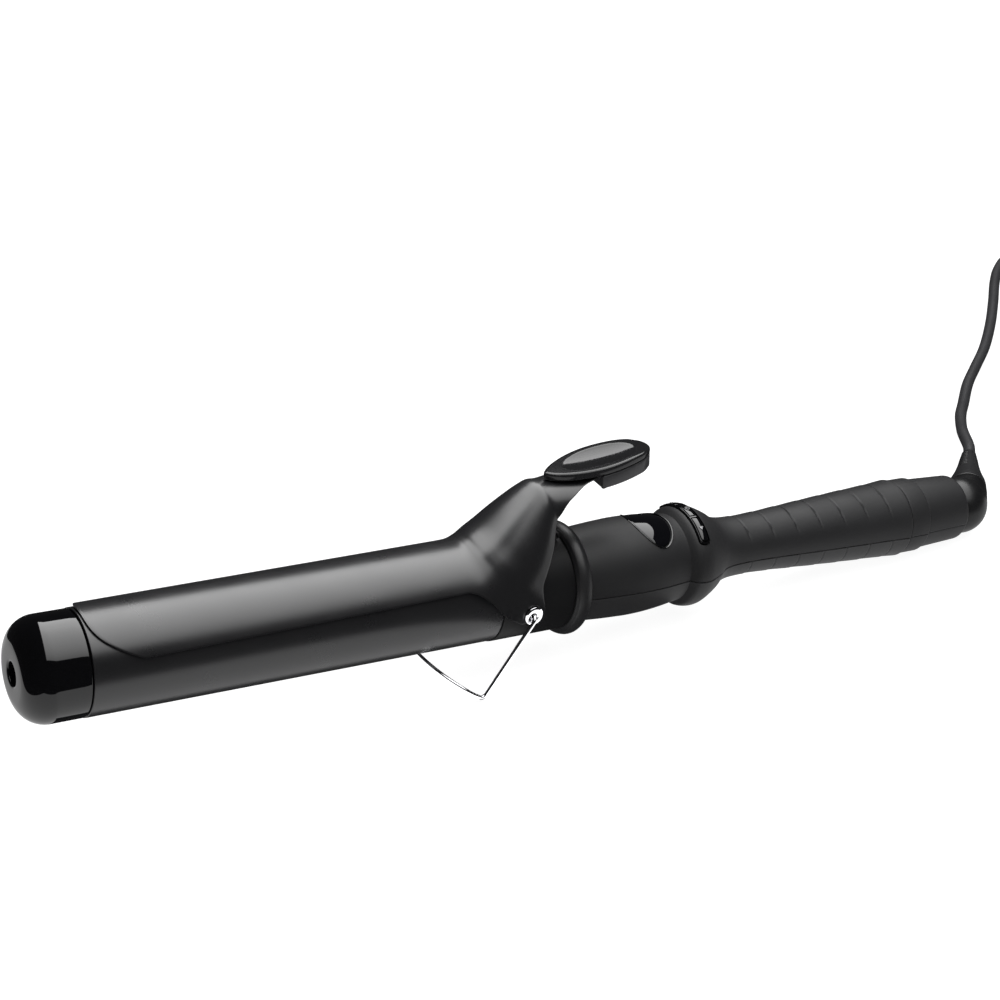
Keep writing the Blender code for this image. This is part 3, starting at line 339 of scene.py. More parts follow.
def cutter_from(mesh):
    """A mesh in the iron's axes, as an object to cut with."""
    mesh.transform(IRON)
    ob = bpy.data.objects.new("cutter", mesh)
    bpy.context.scene.collection.objects.link(ob)
    return ob


# ------------------------ camera, light and floor
camera_data = bpy.data.cameras.new("camera")
camera_data.sensor_width = 36
camera_data.lens = 79.2
camera_data.clip_start = 0.01
camera = bpy.data.objects.new("camera", camera_data)
bpy.context.scene.collection.objects.link(camera)
camera.location = (-0.39561, -0.59522, 0.47011)
camera.rotation_euler = [radians(a) for a in (60.121, -3.12, -29.719)]
bpy.context.scene.camera = camera
bpy.context.scene.view_settings.view_transform = "Standard"


def softbox(name, middle, size, radiance, facing=1, turned=0.0):
    """A rectangular area light facing up (1) or down (-1), hidden from the camera."""
    data = bpy.data.lights.new(name, "AREA")
    data.shape = "RECTANGLE"
    data.size, data.size_y = size
    data.energy = radiance * pi * size[0] * size[1]
    ob = bpy.data.objects.new(name, data)
    bpy.context.scene.collection.objects.link(ob)
    ob.location = middle
    ob.rotation_euler = Vector((0, 0, facing)).to_track_quat("-Z", "Y").to_euler()
    ob.rotation_euler.rotate_axis("Z", turned)
    ob.visible_camera = False
    return ob


def fade_from(light, low, high, reach):
    """Let a softbox brighten along its length: low at its near end, high from a share of the way."""
    light.data.use_nodes = True
    nodes, links = light.data.node_tree.nodes, light.data.node_tree.links
    where = shader_node(light.data.node_tree, "NewGeometry")
    split = shader_node(light.data.node_tree, "SeparateXYZ")
    level = shader_node(light.data.node_tree, "MapRange", From_Min=0.0, From_Max=reach, To_Min=low,
                        To_Max=high)
    links.new(where.outputs["Parametric"], split.inputs["Vector"])
    links.new(split.outputs["Y"], level.inputs["Value"])
    links.new(level.outputs["Result"], nodes["Emission"].inputs["Strength"])


TURNED = radians(-16)
overhead = softbox("overhead", (0.280, 0.072, 0.90), (1.05, 1.93), 2.7, -1, TURNED)
fade_from(overhead, 0.45, 1.58, 0.66)
hood_fill = softbox("hood_fill", (-0.413, 0.464, 0.90), (0.50, 1.20), 3.8, -1, TURNED)
softbox("tip_bounce", (-0.2525, 0.01, 0.0015), (0.105, 0.28), 0.66)
barrel_bounce = softbox("barrel_bounce", (-0.110, -0.076, 0.0015), (0.18, 0.128), 0.72)
softbox("handle_bounce", (0.2775, -0.059, 0.0015), (0.455, 0.142), 0.62)
wire_bounce = softbox("wire_bounce", (0.05, -0.05, 0.0018), (1.1, 0.3), 1.6)
world = bpy.data.worlds.new("world")
bpy.context.scene.world = world
world.use_nodes = True
sky = world.node_tree
pale = sky.nodes["Background"]
pale.inputs["Color"].default_value = (1, 1, 1, 1)
dim = shader_node(sky, "Background", Color=(0.9, 0.9, 0.92, 1), Strength=0.02)
seen = shader_node(sky, "LightPath")
either = shader_node(sky, "MixShader")
sky.links.new(seen.outputs["Is Camera Ray"], either.inputs["Fac"])
sky.links.new(dim.outputs["Background"], either.inputs[1])
sky.links.new(pale.outputs["Background"], either.inputs[2])
sky.links.new(either.outputs["Shader"], sky.nodes["World Output"].inputs["Surface"])

floor_mesh = bpy.data.meshes.new("floor")
floor_mesh.from_pydata([(-4, -4, 0), (4, -4, 0), (4, 4, 0), (-4, 4, 0)], [], [(0, 1, 2, 3)])
floor = bpy.data.objects.new("floor", floor_mesh)
bpy.context.scene.collection.objects.link(floor)
floor.location.z = -0.0003
floor.visible_glossy = False
floor_mat = bpy.data.materials.new("floor")
floor_mat.use_nodes = True
for name, value in (("Base Color", (0.30, 0.30, 0.30, 1)), ("Roughness", 0.9), ("Specular IOR Level", 0.0),
                    ("Emission Color", (1, 1, 1, 1)), ("Emission Strength", 0.94)):
    floor_mat.node_tree.nodes["Principled BSDF"].inputs[name].default_value = value
floor_mesh.materials.append(floor_mat)


# ------------------------ barrel, cap, seat and ring
piece("barrel_skin", lathe("barrel_skin", rounded(
    [(0.0040, BORE_R), (0.00015, BORE_R), (0.00015, BARREL_R), (BARREL_LENGTH, BARREL_R),
     (BARREL_LENGTH, BORE_R), (0.0041, BORE_R)], 0.00035), 144),
    SATIN, slot="barrel_black", replaces=("barrel_tube",))

CAP_FRONT, CAP_EDGE = -0.0220, 0.0102
dome = [(CAP_FRONT + CAP_EDGE * (1 - sin(a)), CAP_R - CAP_EDGE * (1 - cos(a)))
        for a in (radians(90 - 3.75 * i) for i in range(25))]
shelf = CAP_FRONT + 0.0064
spigot = BORE_R - 0.0003
cap_profile = rounded(
    [(shelf + 0.0025, 0.0019), (shelf, 0.0019), (shelf, 0.00425), (CAP_FRONT + 0.0003, 0.00425),
     (CAP_FRONT, 0.0050), *dome[1:], (-0.0030, CAP_R), (-0.0005, CAP_R), (-0.0002, CAP_R - 0.0005),
     (-0.0002, spigot), (0.0080, spigot), (0.0080, spigot - 0.0019), (shelf + 0.0050, spigot - 0.0019),
     (shelf + 0.0025, spigot - 0.0054)], 0.0004)
piece("cap_skin", lathe("cap_skin", cap_profile, 144, sharp=40), GLOSS, slot="cap_black",
      replaces=("tip_cap",))

seat = piece("seat_skin", lathe("seat_skin", rounded(
    [(0.1480, 0.0141), (0.1460, 0.0141), (0.1460, spigot), (0.1583, spigot), (0.1583, SEAT_R),
     (SEAT_END, SEAT_R), (SEAT_END, 0.0158), (SHELL_START + 0.0045, 0.0158),
     (SHELL_START + 0.0045, 0.0141), (0.1481, 0.0141)], 0.0004), 112),
    SEAT, slot="seat_black", replaces=("barrel_seat",))


def across(mesh, place=Matrix.Translation(PIVOT) @ Matrix.Rotation(pi / 2, 4, "Z")):
    """Turn a mesh made along X so that it runs along the pivot."""
    mesh.transform(place)
    return mesh


def pivot_hole():
    """A bar along the pivot, to cut the rivets' holes with."""
    return cutter_from(across(lathe("hole", [(-0.03, 0), (-0.03, 0.0025), (0.03, 0.0025), (0.03, 0)], 40)))


boolean(seat, pivot_hole())

bead = [(FERRULE_START + 0.0006 + 0.0052 * i / 16,
         FERRULE_R - 0.0017 + 0.0017 * sin(pi * (0.10 + 0.82 * i / 16)) ** 0.8) for i in range(17)]
piece("ring_skin", lathe("ring_skin", rounded(
    [(FERRULE_START + 0.0030, 0.0161), (FERRULE_START, 0.0161), (FERRULE_START, FERRULE_R - 0.0026),
     (FERRULE_START + 0.0003, FERRULE_R - 0.0020), *bead, (FERRULE_END, FERRULE_R - 0.0030),
     (FERRULE_END, 0.0161), (FERRULE_START + 0.0031, 0.0161)], 0.0003), 144),
    RING, slot="ring_rubber", replaces=("ferrule_ring",))

# ------------------------ clamp
# a sheet's sections: place along the iron from the pivot, then the crown's height, the slope there
# in degrees, the radius, the reach in degrees and the straight sides, lengths in barrel radii
CLAMP_SECTIONS = (
    (-0.0265, 1.1158, 0, 1.0842, 58, 0.0000), (-0.0235, 1.1211, 6, 1.0895, 63, 0.0000),
    (-0.0217, 1.1368, 15, 1.1000, 75, 0.0000), (-0.0205, 1.1684, 24, 1.1000, 90, 0.2368),
    (-0.0194, 1.2053, 32, 1.1000, 90, 0.6316), (-0.0181, 1.2632, 38, 1.1000, 90, 0.8158),
    (-0.0165, 1.3263, 41, 1.1000, 90, 0.6316), (-0.0148, 1.3947, 42, 1.0789, 90, 0.3947),
    (-0.0128, 1.4842, 42, 1.0421, 90, 0.2368), (-0.0103, 1.6053, 42, 0.9947, 90, 0.1842),
    (-0.0075, 1.7421, 41, 0.9263, 90, 0.1842), (-0.0047, 1.8737, 39, 0.8526, 90, 0.1895),
    (-0.0015, 2.0158, 36, 0.7684, 90, 0.1895), (0.0020, 2.1579, 31, 0.6737, 90, 0.1684),
    (0.0055, 2.2632, 24, 0.6000, 90, 0.1053), (0.0095, 2.2684, 13, 0.5895, 84, 0.0000),
    (0.0155, 2.3053, 9, 0.6737, 52, 0.0000), (0.0225, 2.3632, 9, 0.9474, 26, 0.0000),
    (0.0295, 2.4263, 9, 1.2632, 16, 0.0000),
)
CLAMP_COLUMNS = 56


def clamp_point(row, share):
    """A point of the sheet's outer face; share runs from -1 at one edge to 1 at the other."""
    ahead, crown, slope, radius, reach, leg = row
    x, z, radius, leg = PIVOT.x + ahead, crown * BARREL_R, radius * BARREL_R, leg * BARREL_R
    slope, reach = radians(slope), radians(reach)
    run = abs(share) * (radius * reach + leg)
    if run <= radius * reach:
        out, drop = radius * sin(run / radius), radius * (1 - cos(run / radius))
    else:
        out = radius * sin(reach)
        drop = radius * (1 - cos(reach)) + run - radius * reach
    return Vector((x + drop * sin(slope), math.copysign(out, share), z - drop * cos(slope)))


def spread(sections, per_gap):
    """Sections read from smooth curves through the given ones."""
    table = np.array(sections, float)
    found = []
    for i in range(len(table) - 1):
        p0, p1, p2 = table[max(0, i - 1)], table[i], table[i + 1]
        p3 = table[min(len(table) - 1, i + 2)]
        for k in range(per_gap):
            t = k / per_gap
            found.append(0.5 * (2 * p1 + (p2 - p0) * t + (2 * p0 - 5 * p1 + 4 * p2 - p3) * t ** 2
                                + (3 * p1 - p0 - 3 * p2 + p3) * t ** 3))
    found.append(table[-1])
    return found


clamp_rows = []
blade_end = CLAMP_SECTIONS[0]
for i in range(41):
    share = (i / 40) ** 1.25
    points = []
    for k in range(CLAMP_COLUMNS + 1):
        side = 2 * k / CLAMP_COLUMNS - 1
        point = clamp_point((*blade_end[:4], 62 + (blade_end[4] - 62) * share, 0), side)
        tip = 0.0009 + 0.0174 * abs(side) ** 3.2
        points.append(Vector((tip + (PIVOT.x + blade_end[0] - tip) * share, point.y,
                              point.z - 0.0012 * (1 - share))))
    clamp_rows.append(points)
for section in spread(CLAMP_SECTIONS, 4)[1:]:
    row = [float(v) for v in section]
    row[4], row[5] = min(90.0, row[4]), max(0.0, row[5])
    clamp_rows.append([clamp_point(row, 2 * k / CLAMP_COLUMNS - 1) for k in range(CLAMP_COLUMNS + 1)])
clamp_mesh = bpy.data.meshes.new("clamp_skin")
clamp_mesh.from_pydata([tuple(p) for points in clamp_rows for p in points], [],
                       grid_faces(len(clamp_rows), CLAMP_COLUMNS + 1, False, False))
if sum(p.normal.z for p in clamp_mesh.polygons) < 0:
    clamp_mesh.flip_normals()
clamp_mesh.shade_smooth()
clamp = piece("clamp_skin", clamp_mesh, SATIN, "clamp", "barrel_black", ("clamp_blade",))
wall = clamp.modifiers.new("wall", "SOLIDIFY")
wall.thickness, wall.offset = 0.0007, -1
edges = clamp.modifiers.new("edges", "BEVEL")
edges.width, edges.segments, edges.limit_method = 0.00022, 2, "ANGLE"
edges.angle_limit = radians(55)


def applied(ob, sharp=40):
    """Give an object the mesh that its modifiers make."""
    mesh = made_mesh(ob)
    ob.modifiers.clear()
    ob.data = mesh
    mesh.shade_smooth()
    mesh.set_sharp_from_angle(angle=radians(sharp))
    return ob


applied(clamp)
boolean(clamp, pivot_hole())

lit_by_fill = bpy.data.collections.new("lit_by_hood_fill")
lit_by_fill.objects.link(clamp)
hood_fill.light_linking.receiver_collection = lit_by_fill
spared = bpy.data.collections.new("spared_by_barrel_bounce")
spared.objects.link(clamp)
spared.collection_objects[0].light_linking.link_state = "EXCLUDE"
barrel_bounce.light_linking.receiver_collection = spared

# ------------------------ thumb rest
THUMB_L = 0.0455
thumb_place = (Matrix.Translation((PIVOT.x + 0.0097, 0, 2.4474 * BARREL_R))
               @ Matrix.Rotation(-radians(9.0), 4, "Y"))


def thumb_half_width(x):
    """Half the thumb plate's width at a distance from its front end."""
    share = x / THUMB_L
    front = sin(min(1, share / 0.52) * pi / 2) ** 0.62
    rear = 1 - 0.20 * max(0, (share - 0.52) / 0.30) ** 2
    nose = 0.0065 / THUMB_L
    end = sqrt(max(0, 1 - max(0, (share - (1 - nose)) / nose) ** 2))
    return 0.0091 * front * max(0.62, rear) * end


def thumb_outline(start, end, inset=0.0, steps=56):
    """The plate's outline between two distances from its front end."""
    stations = [start + (end - start) * (1 - cos(pi * i / steps)) / 2 for i in range(steps + 1)]
    side = [(x, max(0.0, thumb_half_width(x) - inset)) for x in stations]
    keep = [p for p in side if p[1] > 0.00015]
    return [(x, -w) for x, w in keep] + [(x, w) for x, w in reversed(keep)]


def dish(x, y):
    """How deep the thumb's hollow is."""
    t = ((x - 0.0240) / 0.0152) ** 2 + ((y + 0.0002) / 0.0066) ** 2
    return 0.0011 * (1 - t) ** 0.8 if t < 1 else 0.0


def droop(x):
    """How far the plate's top falls away towards its rear end."""
    return 0.0013 * max(0.0, (x - 0.0330) / 0.0125) ** 2


def edge_layers(top, bottom, radius, steps=5):
    """Layers round an edge of this radius, down a side and round the lower edge."""
    found = []
    for i in range(steps + 1):
        a = radians(90 * i / steps)
        found.append((1.0, radius * (1 - sin(a)), top - radius * (1 - cos(a))))
    for i in range(steps + 1):
        a = radians(90 * i / steps)
        found.append((1.0, radius * (1 - cos(a)), bottom + radius * (1 - sin(a))))
    return found


PLATE_EDGE, PLATE_FOOT = 0.0009, -0.0031
plate_layers = ([(max(0.0001, i / 30), PLATE_EDGE, 0.0) for i in range(30)]
                + edge_layers(0.0, PLATE_FOOT, PLATE_EDGE)
                + [(0.6, PLATE_EDGE, PLATE_FOOT), (0.0001, PLATE_EDGE, PLATE_FOOT)])
plate_mesh = ringed("thumb_skin", thumb_outline(0, THUMB_L), plate_layers, dish, thumb_place, sag=droop)
piece("thumb_skin", plate_mesh, THUMB, "clamp", "thumb_plastic", ("thumb_plate",))
SKIRT_START = THUMB_L - 0.0254
skirt_layers = ([(0.0001, 0.0004, -0.0034), (0.7, 0.0004, -0.0034)] + edge_layers(-0.0034, -0.0087, 0.0004, 3)
                + [(1.0, 0.0014, -0.0087), (1.0, 0.0014, -0.0050), (0.6, 0.0014, -0.0048),
                   (0.0001, 0.0014, -0.0048)])
skirt_mesh = ringed("skirt_skin", thumb_outline(SKIRT_START, THUMB_L - 0.0002, 0.0001), skirt_layers, None,
                    thumb_place)
piece("skirt_skin", skirt_mesh, SKIRT, "clamp", "thumb_plastic", ("thumb_skirt",))

# ------------------------ kickstand and rivets
WIRE_R, STAND_HALF, STAND_LEG, STAND_BOW, WIRE_BEND = 0.00085, 0.0233, 1.9158 * BARREL_R, 0.0196, 0.0022
down = Vector((-sin(radians(30.4)), 0, -cos(radians(30.4))))
forward = Vector((down.z, 0, -down.x))
half = [PIVOT + Vector((0, 0.0145, 0)), PIVOT + Vector((0, STAND_HALF - WIRE_BEND - 0.0005, 0))]
for i in range(9):
    a = radians(90 * i / 8)
    half.append(PIVOT + Vector((0, STAND_HALF - WIRE_BEND + WIRE_BEND * sin(a), 0))
                + down * WIRE_BEND * (1 - cos(a)))
half.append(PIVOT + Vector((0, STAND_HALF, 0)) + down * STAND_LEG * 0.5)
for i in range(7):
    a = radians(90 * i / 8)
    half.append(PIVOT + Vector((0, STAND_HALF, 0))
                + down * (STAND_LEG - WIRE_BEND + WIRE_BEND * sin(a))
                + forward * WIRE_BEND * (1 - cos(a)))
first = math.asin(WIRE_BEND / STAND_BOW)
for i in range(2, 29):
    a = first + (pi / 2 - first) * i / 28
    half.append(PIVOT + down * STAND_LEG + Vector((0, STAND_HALF * cos(a), 0))
                + forward * STAND_BOW * sin(a))
wire = half + [Vector((p.x, -p.y, p.z)) for p in reversed(half[:-1])]
lit_by_wire = bpy.data.collections.new("lit_by_wire_bounce")
wire_bounce.light_linking.receiver_collection = lit_by_wire
lit_by_wire.objects.link(
    tube("stand_wire", wire, WIRE_R, CHROME, "stand", sides=6, slot="chrome_wire", replaces=("kickstand",)))

EAR_R = 1.1 * BARREL_R
for side, word in ((-1, "near"), (1, "far")):
    head = EAR_R + 0.0003
    rivet = lathe(f"rivet_{word}", rounded(
        [(0.0150, WIRE_R + 0.0003), (0.0135, WIRE_R + 0.0003), (0.0135, 0.0022), (head, 0.0022),
         (head, 0.0037), (head + 0.0005, 0.0037), (head + 0.0009, 0.0030), (head + 0.0009, 0.0019),
         (head + 0.0005, 0.0015), (head + 0.0005, WIRE_R + 0.0003), (0.0151, WIRE_R + 0.0003)], 0.00018, 3), 64)
    across(rivet, Matrix.Translation(PIVOT) @ Matrix.Rotation(side * pi / 2, 4, "Z"))
    lit_by_wire.objects.link(
        piece(f"rivet_{word}", rivet, CHROME, slot="chrome_wire", replaces=(f"pivot_rivet_{word}",)))

# ------------------------ handle shells
HANDLE_OUTLINE = (
    (0.0000, 0.0178), (0.0050, 0.0182), (0.0120, 0.0187), (0.0180, 0.0190), (0.0240, 0.0192),
    (0.0310, 0.0190), (0.0380, 0.0184), (0.0440, 0.0176), (0.0473, 0.0173),
)
FLANGE_OUTLINE = (
    (-0.0049, 0.0183), (-0.0030, 0.0196), (0.0000, 0.0202), (0.0030, 0.0198), (0.0067, 0.0182),
    (0.0102, 0.0163), (0.0137, 0.0139), (0.0175, 0.0126), (0.0225, 0.0120),
)
GRIP_OUTLINE = (
    (0.108, 0.0119), (0.227, 0.0123), (0.346, 0.0129), (0.524, 0.0138),
    (0.703, 0.0146), (0.857, 0.0152), (1.000, 0.0160),
)
stations = [(SHELL_START + x, r) for x, r in HANDLE_OUTLINE] + [(FLANGE_X + x, r) for x, r in FLANGE_OUTLINE]
neck_x = stations[-1][0]
stations += [(neck_x + (SHELL_END - neck_x) * share, r) for share, r in GRIP_OUTLINE]
handle_curve = curve_through(stations, 0.0004)


def handle_r(x):
    """The handle's outer radius at a place along the iron."""
    return float(np.interp(x, [p.x for p in handle_curve], [p.y for p in handle_curve]))


GROOVE_TOPS = (0.2755, 0.2870, 0.2984, 0.3098, 0.3212, 0.3327, 0.3444)
GROOVE_BOTTOMS = (0.2779, 0.2898, 0.3013, 0.3135, 0.3249, 0.3364, 0.3480)


def ease(low, high, value):
    """0 below low, 1 above high, smooth between."""
    t = min(1.0, max(0.0, (value - low) / (high - low)))
    return t * t * (3 - 2 * t)


def grip_relief(x, turned_by):
    """How far the grip's shingled ridges lie below its outline."""
    degrees = abs(math.degrees(turned_by))
    strength = (1 - ease(36, 62, degrees)) + ease(122, 140, degrees)
    if strength <= 0:
        return 0.0
    depth = 0.0
    for top, bottom in zip(GROOVE_TOPS, GROOVE_BOTTOMS):
        place = top + (bottom - top) * (1 - cos(turned_by)) / 2
        off = x - place
        depth = max(depth, 0.00045 * math.exp(-(off / 0.00036) ** 2))
        if 0 < off < 0.0085:
            depth = max(depth, 0.00016 * (1 - off / 0.0085))
    return depth * strength


def shell_mesh(name, side):
    """Half of the handle's wall, above or below its seam."""
    xs = [SHELL_START, SHELL_START + 0.0002] + list(np.arange(SHELL_START + 0.0010, 0.2700, 0.0009))
    xs += list(np.arange(0.2700, SHELL_END - 0.0010, 0.00036))
    xs += [SHELL_END - 0.0006, SHELL_END - 0.0002, SHELL_END]
    columns = 73
    plane = SEAM_Z + side * 0.00015
    verts, faces = [], []
    for x in xs:
        lip = {xs[0]: 0.0002, xs[-1]: 0.00045, xs[-2]: 0.00022}.get(x, 0.0)
        outer = handle_r(x)
        inner = 0.0161 if x < SHELL_START + 0.0003 else min(outer, 0.0178) - 0.0018
        end = math.acos(max(-1, min(1, side * plane / outer)))
        shares = [2 * k / (columns - 1) - 1 for k in range(columns)]
        shares[1], shares[-2] = -1 + 0.0008, 1 - 0.0008
        for k, share in enumerate(shares):
            a = share * end
            chamfer = 0.00016 if k in (0, columns - 1) else 0.0
            if k in (1, columns - 2):
                a, chamfer = math.copysign(end - 0.00022 / outer, share), 0.0
            top = a if side > 0 else pi - a
            r = outer - lip - chamfer - grip_relief(x, top)
            verts.append((x, r * sin(a), side * r * cos(a)))
        end = math.acos(max(-1, min(1, side * plane / inner)))
        for share in reversed(shares):
            a = share * end
            verts.append((x, inner * sin(a), side * inner * cos(a)))
    ring = 2 * columns
    faces = grid_faces(len(xs), ring)
    for row in (0, len(xs) - 1):
        for k in range(columns - 1):
            a, b = row * ring + k, row * ring + k + 1
            c, d = row * ring + ring - 2 - k, row * ring + ring - 1 - k
            faces.append((a, b, c, d))
    return mesh_from(name, verts, faces, 35)


WINDOW_L, WINDOW_W = 0.0082, 0.0129
upper = piece("upper_grip", shell_mesh("upper_grip", 1), SHELL, slot="shell_black",
              replaces=("upper_shell",))
lower = piece("lower_grip", shell_mesh("lower_grip", -1), LOWER_PAINTED_BOUNCE, slot="lower_shell_black",
              replaces=("lower_shell",))
oval = [(WINDOW_L * cos(2 * pi * i / 96), WINDOW_W * sin(2 * pi * i / 96))
        for i in range(96)]
hole = mesh_from("hole", [(WINDOW_X + x, y, z) for z in (0.006, 0.030) for x, y in oval],
                 grid_faces(2, 96) + [tuple(range(96)), tuple(range(96, 192))])
boolean(upper, cutter_from(hole))


def arc_block(name, x_low, x_high, outside, inside_r, start, end, edge, crown=0.0, steps=48,
              round_low=False, round_high=False):
    """A block bent round the iron's axis with rounded outer edges, by angles from the top to +Y."""
    verts = []
    width = x_high - x_low
    turns_at = [start, start + edge * 0.35 / outside]
    turns_at += [start + (end - start) * i / steps for i in range(1, steps)]
    turns_at += [end - edge * 0.35 / outside, end]
    nose = width / 2 / outside
    if round_low:
        turns_at += [start + nose * (1 - cos(radians(9 * i))) for i in range(1, 10)]
    if round_high:
        turns_at += [end - nose * (1 - cos(radians(9 * i))) for i in range(1, 10)]
    turns_at = sorted(turns_at)
    loop = rounded([(x_low + width / 2, inside_r), (x_low, inside_r), (x_low, outside), (x_high, outside),
                    (x_high, inside_r), (x_low + width / 2 + 0.00001, inside_r)], edge, 4)
    for i, a in enumerate(turns_at):
        lip = edge if i in (0, len(turns_at) - 1) else (edge * 0.25 if i in (1, len(turns_at) - 2) else 0)
        pinch = 1.0
        if round_low and a < start + nose:
            pinch = max(0.12, sqrt(max(0.0, 1 - (1 - (a - start) / nose) ** 2)))
        if round_high and a > end - nose:
            pinch = max(0.12, sqrt(max(0.0, 1 - (1 - (end - a) / nose) ** 2)))
        for x, r in loop:
            x = (x_low + x_high) / 2 + (x - (x_low + x_high) / 2) * pinch
            rise = crown * max(0, 1 - ((x - (x_low + x_high) / 2) / (width / 2)) ** 2)
            rise *= sin(pi * (a - start) / (end - start)) ** 0.4 if 0 < i < len(turns_at) - 1 else 0
            over_top = max(0.0, (r - inside_r) / (outside - inside_r))
            r2 = r - lip * over_top + (rise if over_top > 0.9 else 0)
            verts.append((x, r2 * sin(a), r2 * cos(a)))
    count = len(loop)
    faces = grid_faces(len(turns_at), count) + [tuple(range(count)),
                                                tuple(range((len(turns_at) - 1) * count, len(turns_at) * count))]
    return mesh_from(name, verts, faces, 38)


BEZEL_R, BEZEL_W, BUTTON_W = 0.0204, 0.0024, 0.0017
slot_cut = arc_block("hole", FLANGE_X - BEZEL_W - 0.0003, FLANGE_X + BEZEL_W + 0.0003, BEZEL_R + 0.004,
                     BEZEL_R - 0.006, -radians(50) - 0.015, radians(50) + 0.015, 0.0001,
                     round_low=True, round_high=True)
boolean(upper, cutter_from(slot_cut))
bezel = piece("bezel_strip", arc_block("bezel_strip", FLANGE_X - BEZEL_W, FLANGE_X + BEZEL_W,
                                       BEZEL_R + 0.0002, BEZEL_R - 0.0030, -radians(50),
                                       radians(50), 0.0007, steps=72, round_low=True,
                                       round_high=True),
              GLOSS, slot="bezel_black", replaces=("button_bezel",))
BUTTONS = (("down_button", "down_key", -46, -16), ("power_button", "power_key", -13, 13),
           ("up_button", "up_key", 16, 46))
for name, body, low, high in BUTTONS:
    low, high = radians(low), radians(high)
    boolean(bezel, cutter_from(arc_block("hole", FLANGE_X - BUTTON_W - 0.0003, FLANGE_X + BUTTON_W + 0.0003,
                                         BEZEL_R + 0.002, BEZEL_R - 0.0060, low - 0.0147, high + 0.0147,
                                         0.0002, round_low=body == "down_key",
                                         round_high=body == "up_key")))
    piece(f"{name}_cap", arc_block(f"{name}_cap", FLANGE_X - BUTTON_W, FLANGE_X + BUTTON_W,
                                   BEZEL_R + 0.0002, BEZEL_R - 0.0023, low, high, 0.0004, 0.0003, 28,
                                   body == "down_key", body == "up_key"),
          GLOSS, body, "bezel_black", (name,))


def icon(name, body, middle, shapes):
    """A thin raised mark on a button, from flat outlines in millimetres: along the iron, across."""
    verts, faces = [], []
    for shape in shapes:
        base = len(verts)
        count = len(shape)
        for lift in (0.00030, 0.00056):
            for u, v in shape:
                a = radians(middle) + v * 0.001 / BEZEL_R
                r = BEZEL_R + 0.0002 + lift - 0.0001
                verts.append((FLANGE_X + u * 0.001, r * sin(a), r * cos(a)))
        faces += [tuple(base + f for f in face) for face in grid_faces(2, count)]
        faces += [tuple(base + k for k in range(count)), tuple(base + count + k for k in range(count))]
    piece(name, mesh_from(name, verts, faces), ICON, body, "bezel_black")


def ring_part(radius, width, start, end, steps=20):
    """A band of a circle, as a flat outline."""
    angles = [radians(start + (end - start) * i / steps) for i in range(steps + 1)]
    return ([(radius * cos(a), radius * sin(a)) for a in angles]
            + [((radius - width) * cos(a), (radius - width) * sin(a)) for a in reversed(angles)])


icon("power_mark", "power_key", 0, [ring_part(0.95, 0.22, 215, 505), [(-1.15, -0.11), (-0.15, -0.11),
                                                                      (-0.15, 0.11), (-1.15, 0.11)]])
for name, body, middle, way_round in (("down_mark", "down_key", -31, -1), ("up_mark", "up_key", 31, 1)):
    icon(name, body, middle, [[(-0.85, -0.55 * way_round), (0.85, -0.55 * way_round), (0.0, 0.75 * way_round)]])

# the display's lens, a little domed, in a thin raised rim
verts = []
RINGS = 22
for depth, lift in ((0.0, 1), (-0.0014, 0)):
    order = range(RINGS + 1) if lift else reversed(range(RINGS + 1))
    for ring in order:
        share = ring / RINGS
        for i in range(96):
            x = WINDOW_X + (WINDOW_L - 0.0003) * share * cos(2 * pi * i / 96)
            y = (WINDOW_W - 0.0003) * share * sin(2 * pi * i / 96)
            r = handle_r(x) + depth + lift * (0.00035 * (1 - share ** 2) - 0.00012 - 0.00012 * (share > 0.97))
            verts.append((x, y, sqrt(r * r - y * y)))
lens = mesh_from("display_lens", verts, grid_faces(2 * RINGS + 2, 96), 40)
piece("display_lens", lens, LENS, slot="window", replaces=("display_window",))
verts = []
for i in range(128):
    a = 2 * pi * i / 128
    x, y = WINDOW_X + (WINDOW_L + 0.0002) * cos(a), (WINDOW_W + 0.0002) * sin(a)
    r = handle_r(x)
    foot = Vector((x, y, sqrt(r * r - y * y)))
    up = Vector((0, foot.y, foot.z)).normalized()
    out = Vector((cos(a) / WINDOW_L, sin(a) / WINDOW_W, 0)).normalized()
    for k in range(12):
        b = 2 * pi * k / 12
        verts.append(foot + out * 0.00045 * cos(b) + up * 0.00032 * sin(b))
piece("window_rim", mesh_from("window_rim", verts, grid_faces(128, 12, True), 60), GLOSS, slot="bezel_black")

# ------------------------ band, sleeve, swivel and relief


def seam_relief(x, angle, radius):
    """The seam line that runs on through the band and the sleeve."""
    off = abs(radius * cos(angle) - SEAM_Z)
    return 0.00022 * max(0.0, 1 - off / 0.00032) if radius > 0.0125 else 0.0


seam_angles = []
for k in range(-3, 4):
    a = math.acos(SEAM_Z / 0.0150) + k * 0.0115
    seam_angles += [a, 2 * pi - a]
band = lathe("band_skin", rounded(
    [(BAND_START + 0.0050, SWIVEL_BORE), (BAND_START, SWIVEL_BORE), (BAND_START, 0.0154),
     (BAND_END, 0.0154), (BAND_END, SWIVEL_BORE), (BAND_START + 0.0051, SWIVEL_BORE)], 0.0007),
    120, seam_relief, 35, seam_angles)
piece("band_skin", band, SHELL, slot="shell_black", replaces=("tail_band",))
sleeve = lathe("sleeve_skin", rounded(
    [(SLEEVE_START + 0.0100, SWIVEL_BORE), (SLEEVE_START, SWIVEL_BORE), (SLEEVE_START, 0.0146),
     (SLEEVE_END - 0.0012, 0.0136), (SLEEVE_END, 0.0126), (SLEEVE_END, SWIVEL_BORE),
     (SLEEVE_START + 0.0101, SWIVEL_BORE)], 0.0005), 120, seam_relief, 35, seam_angles)
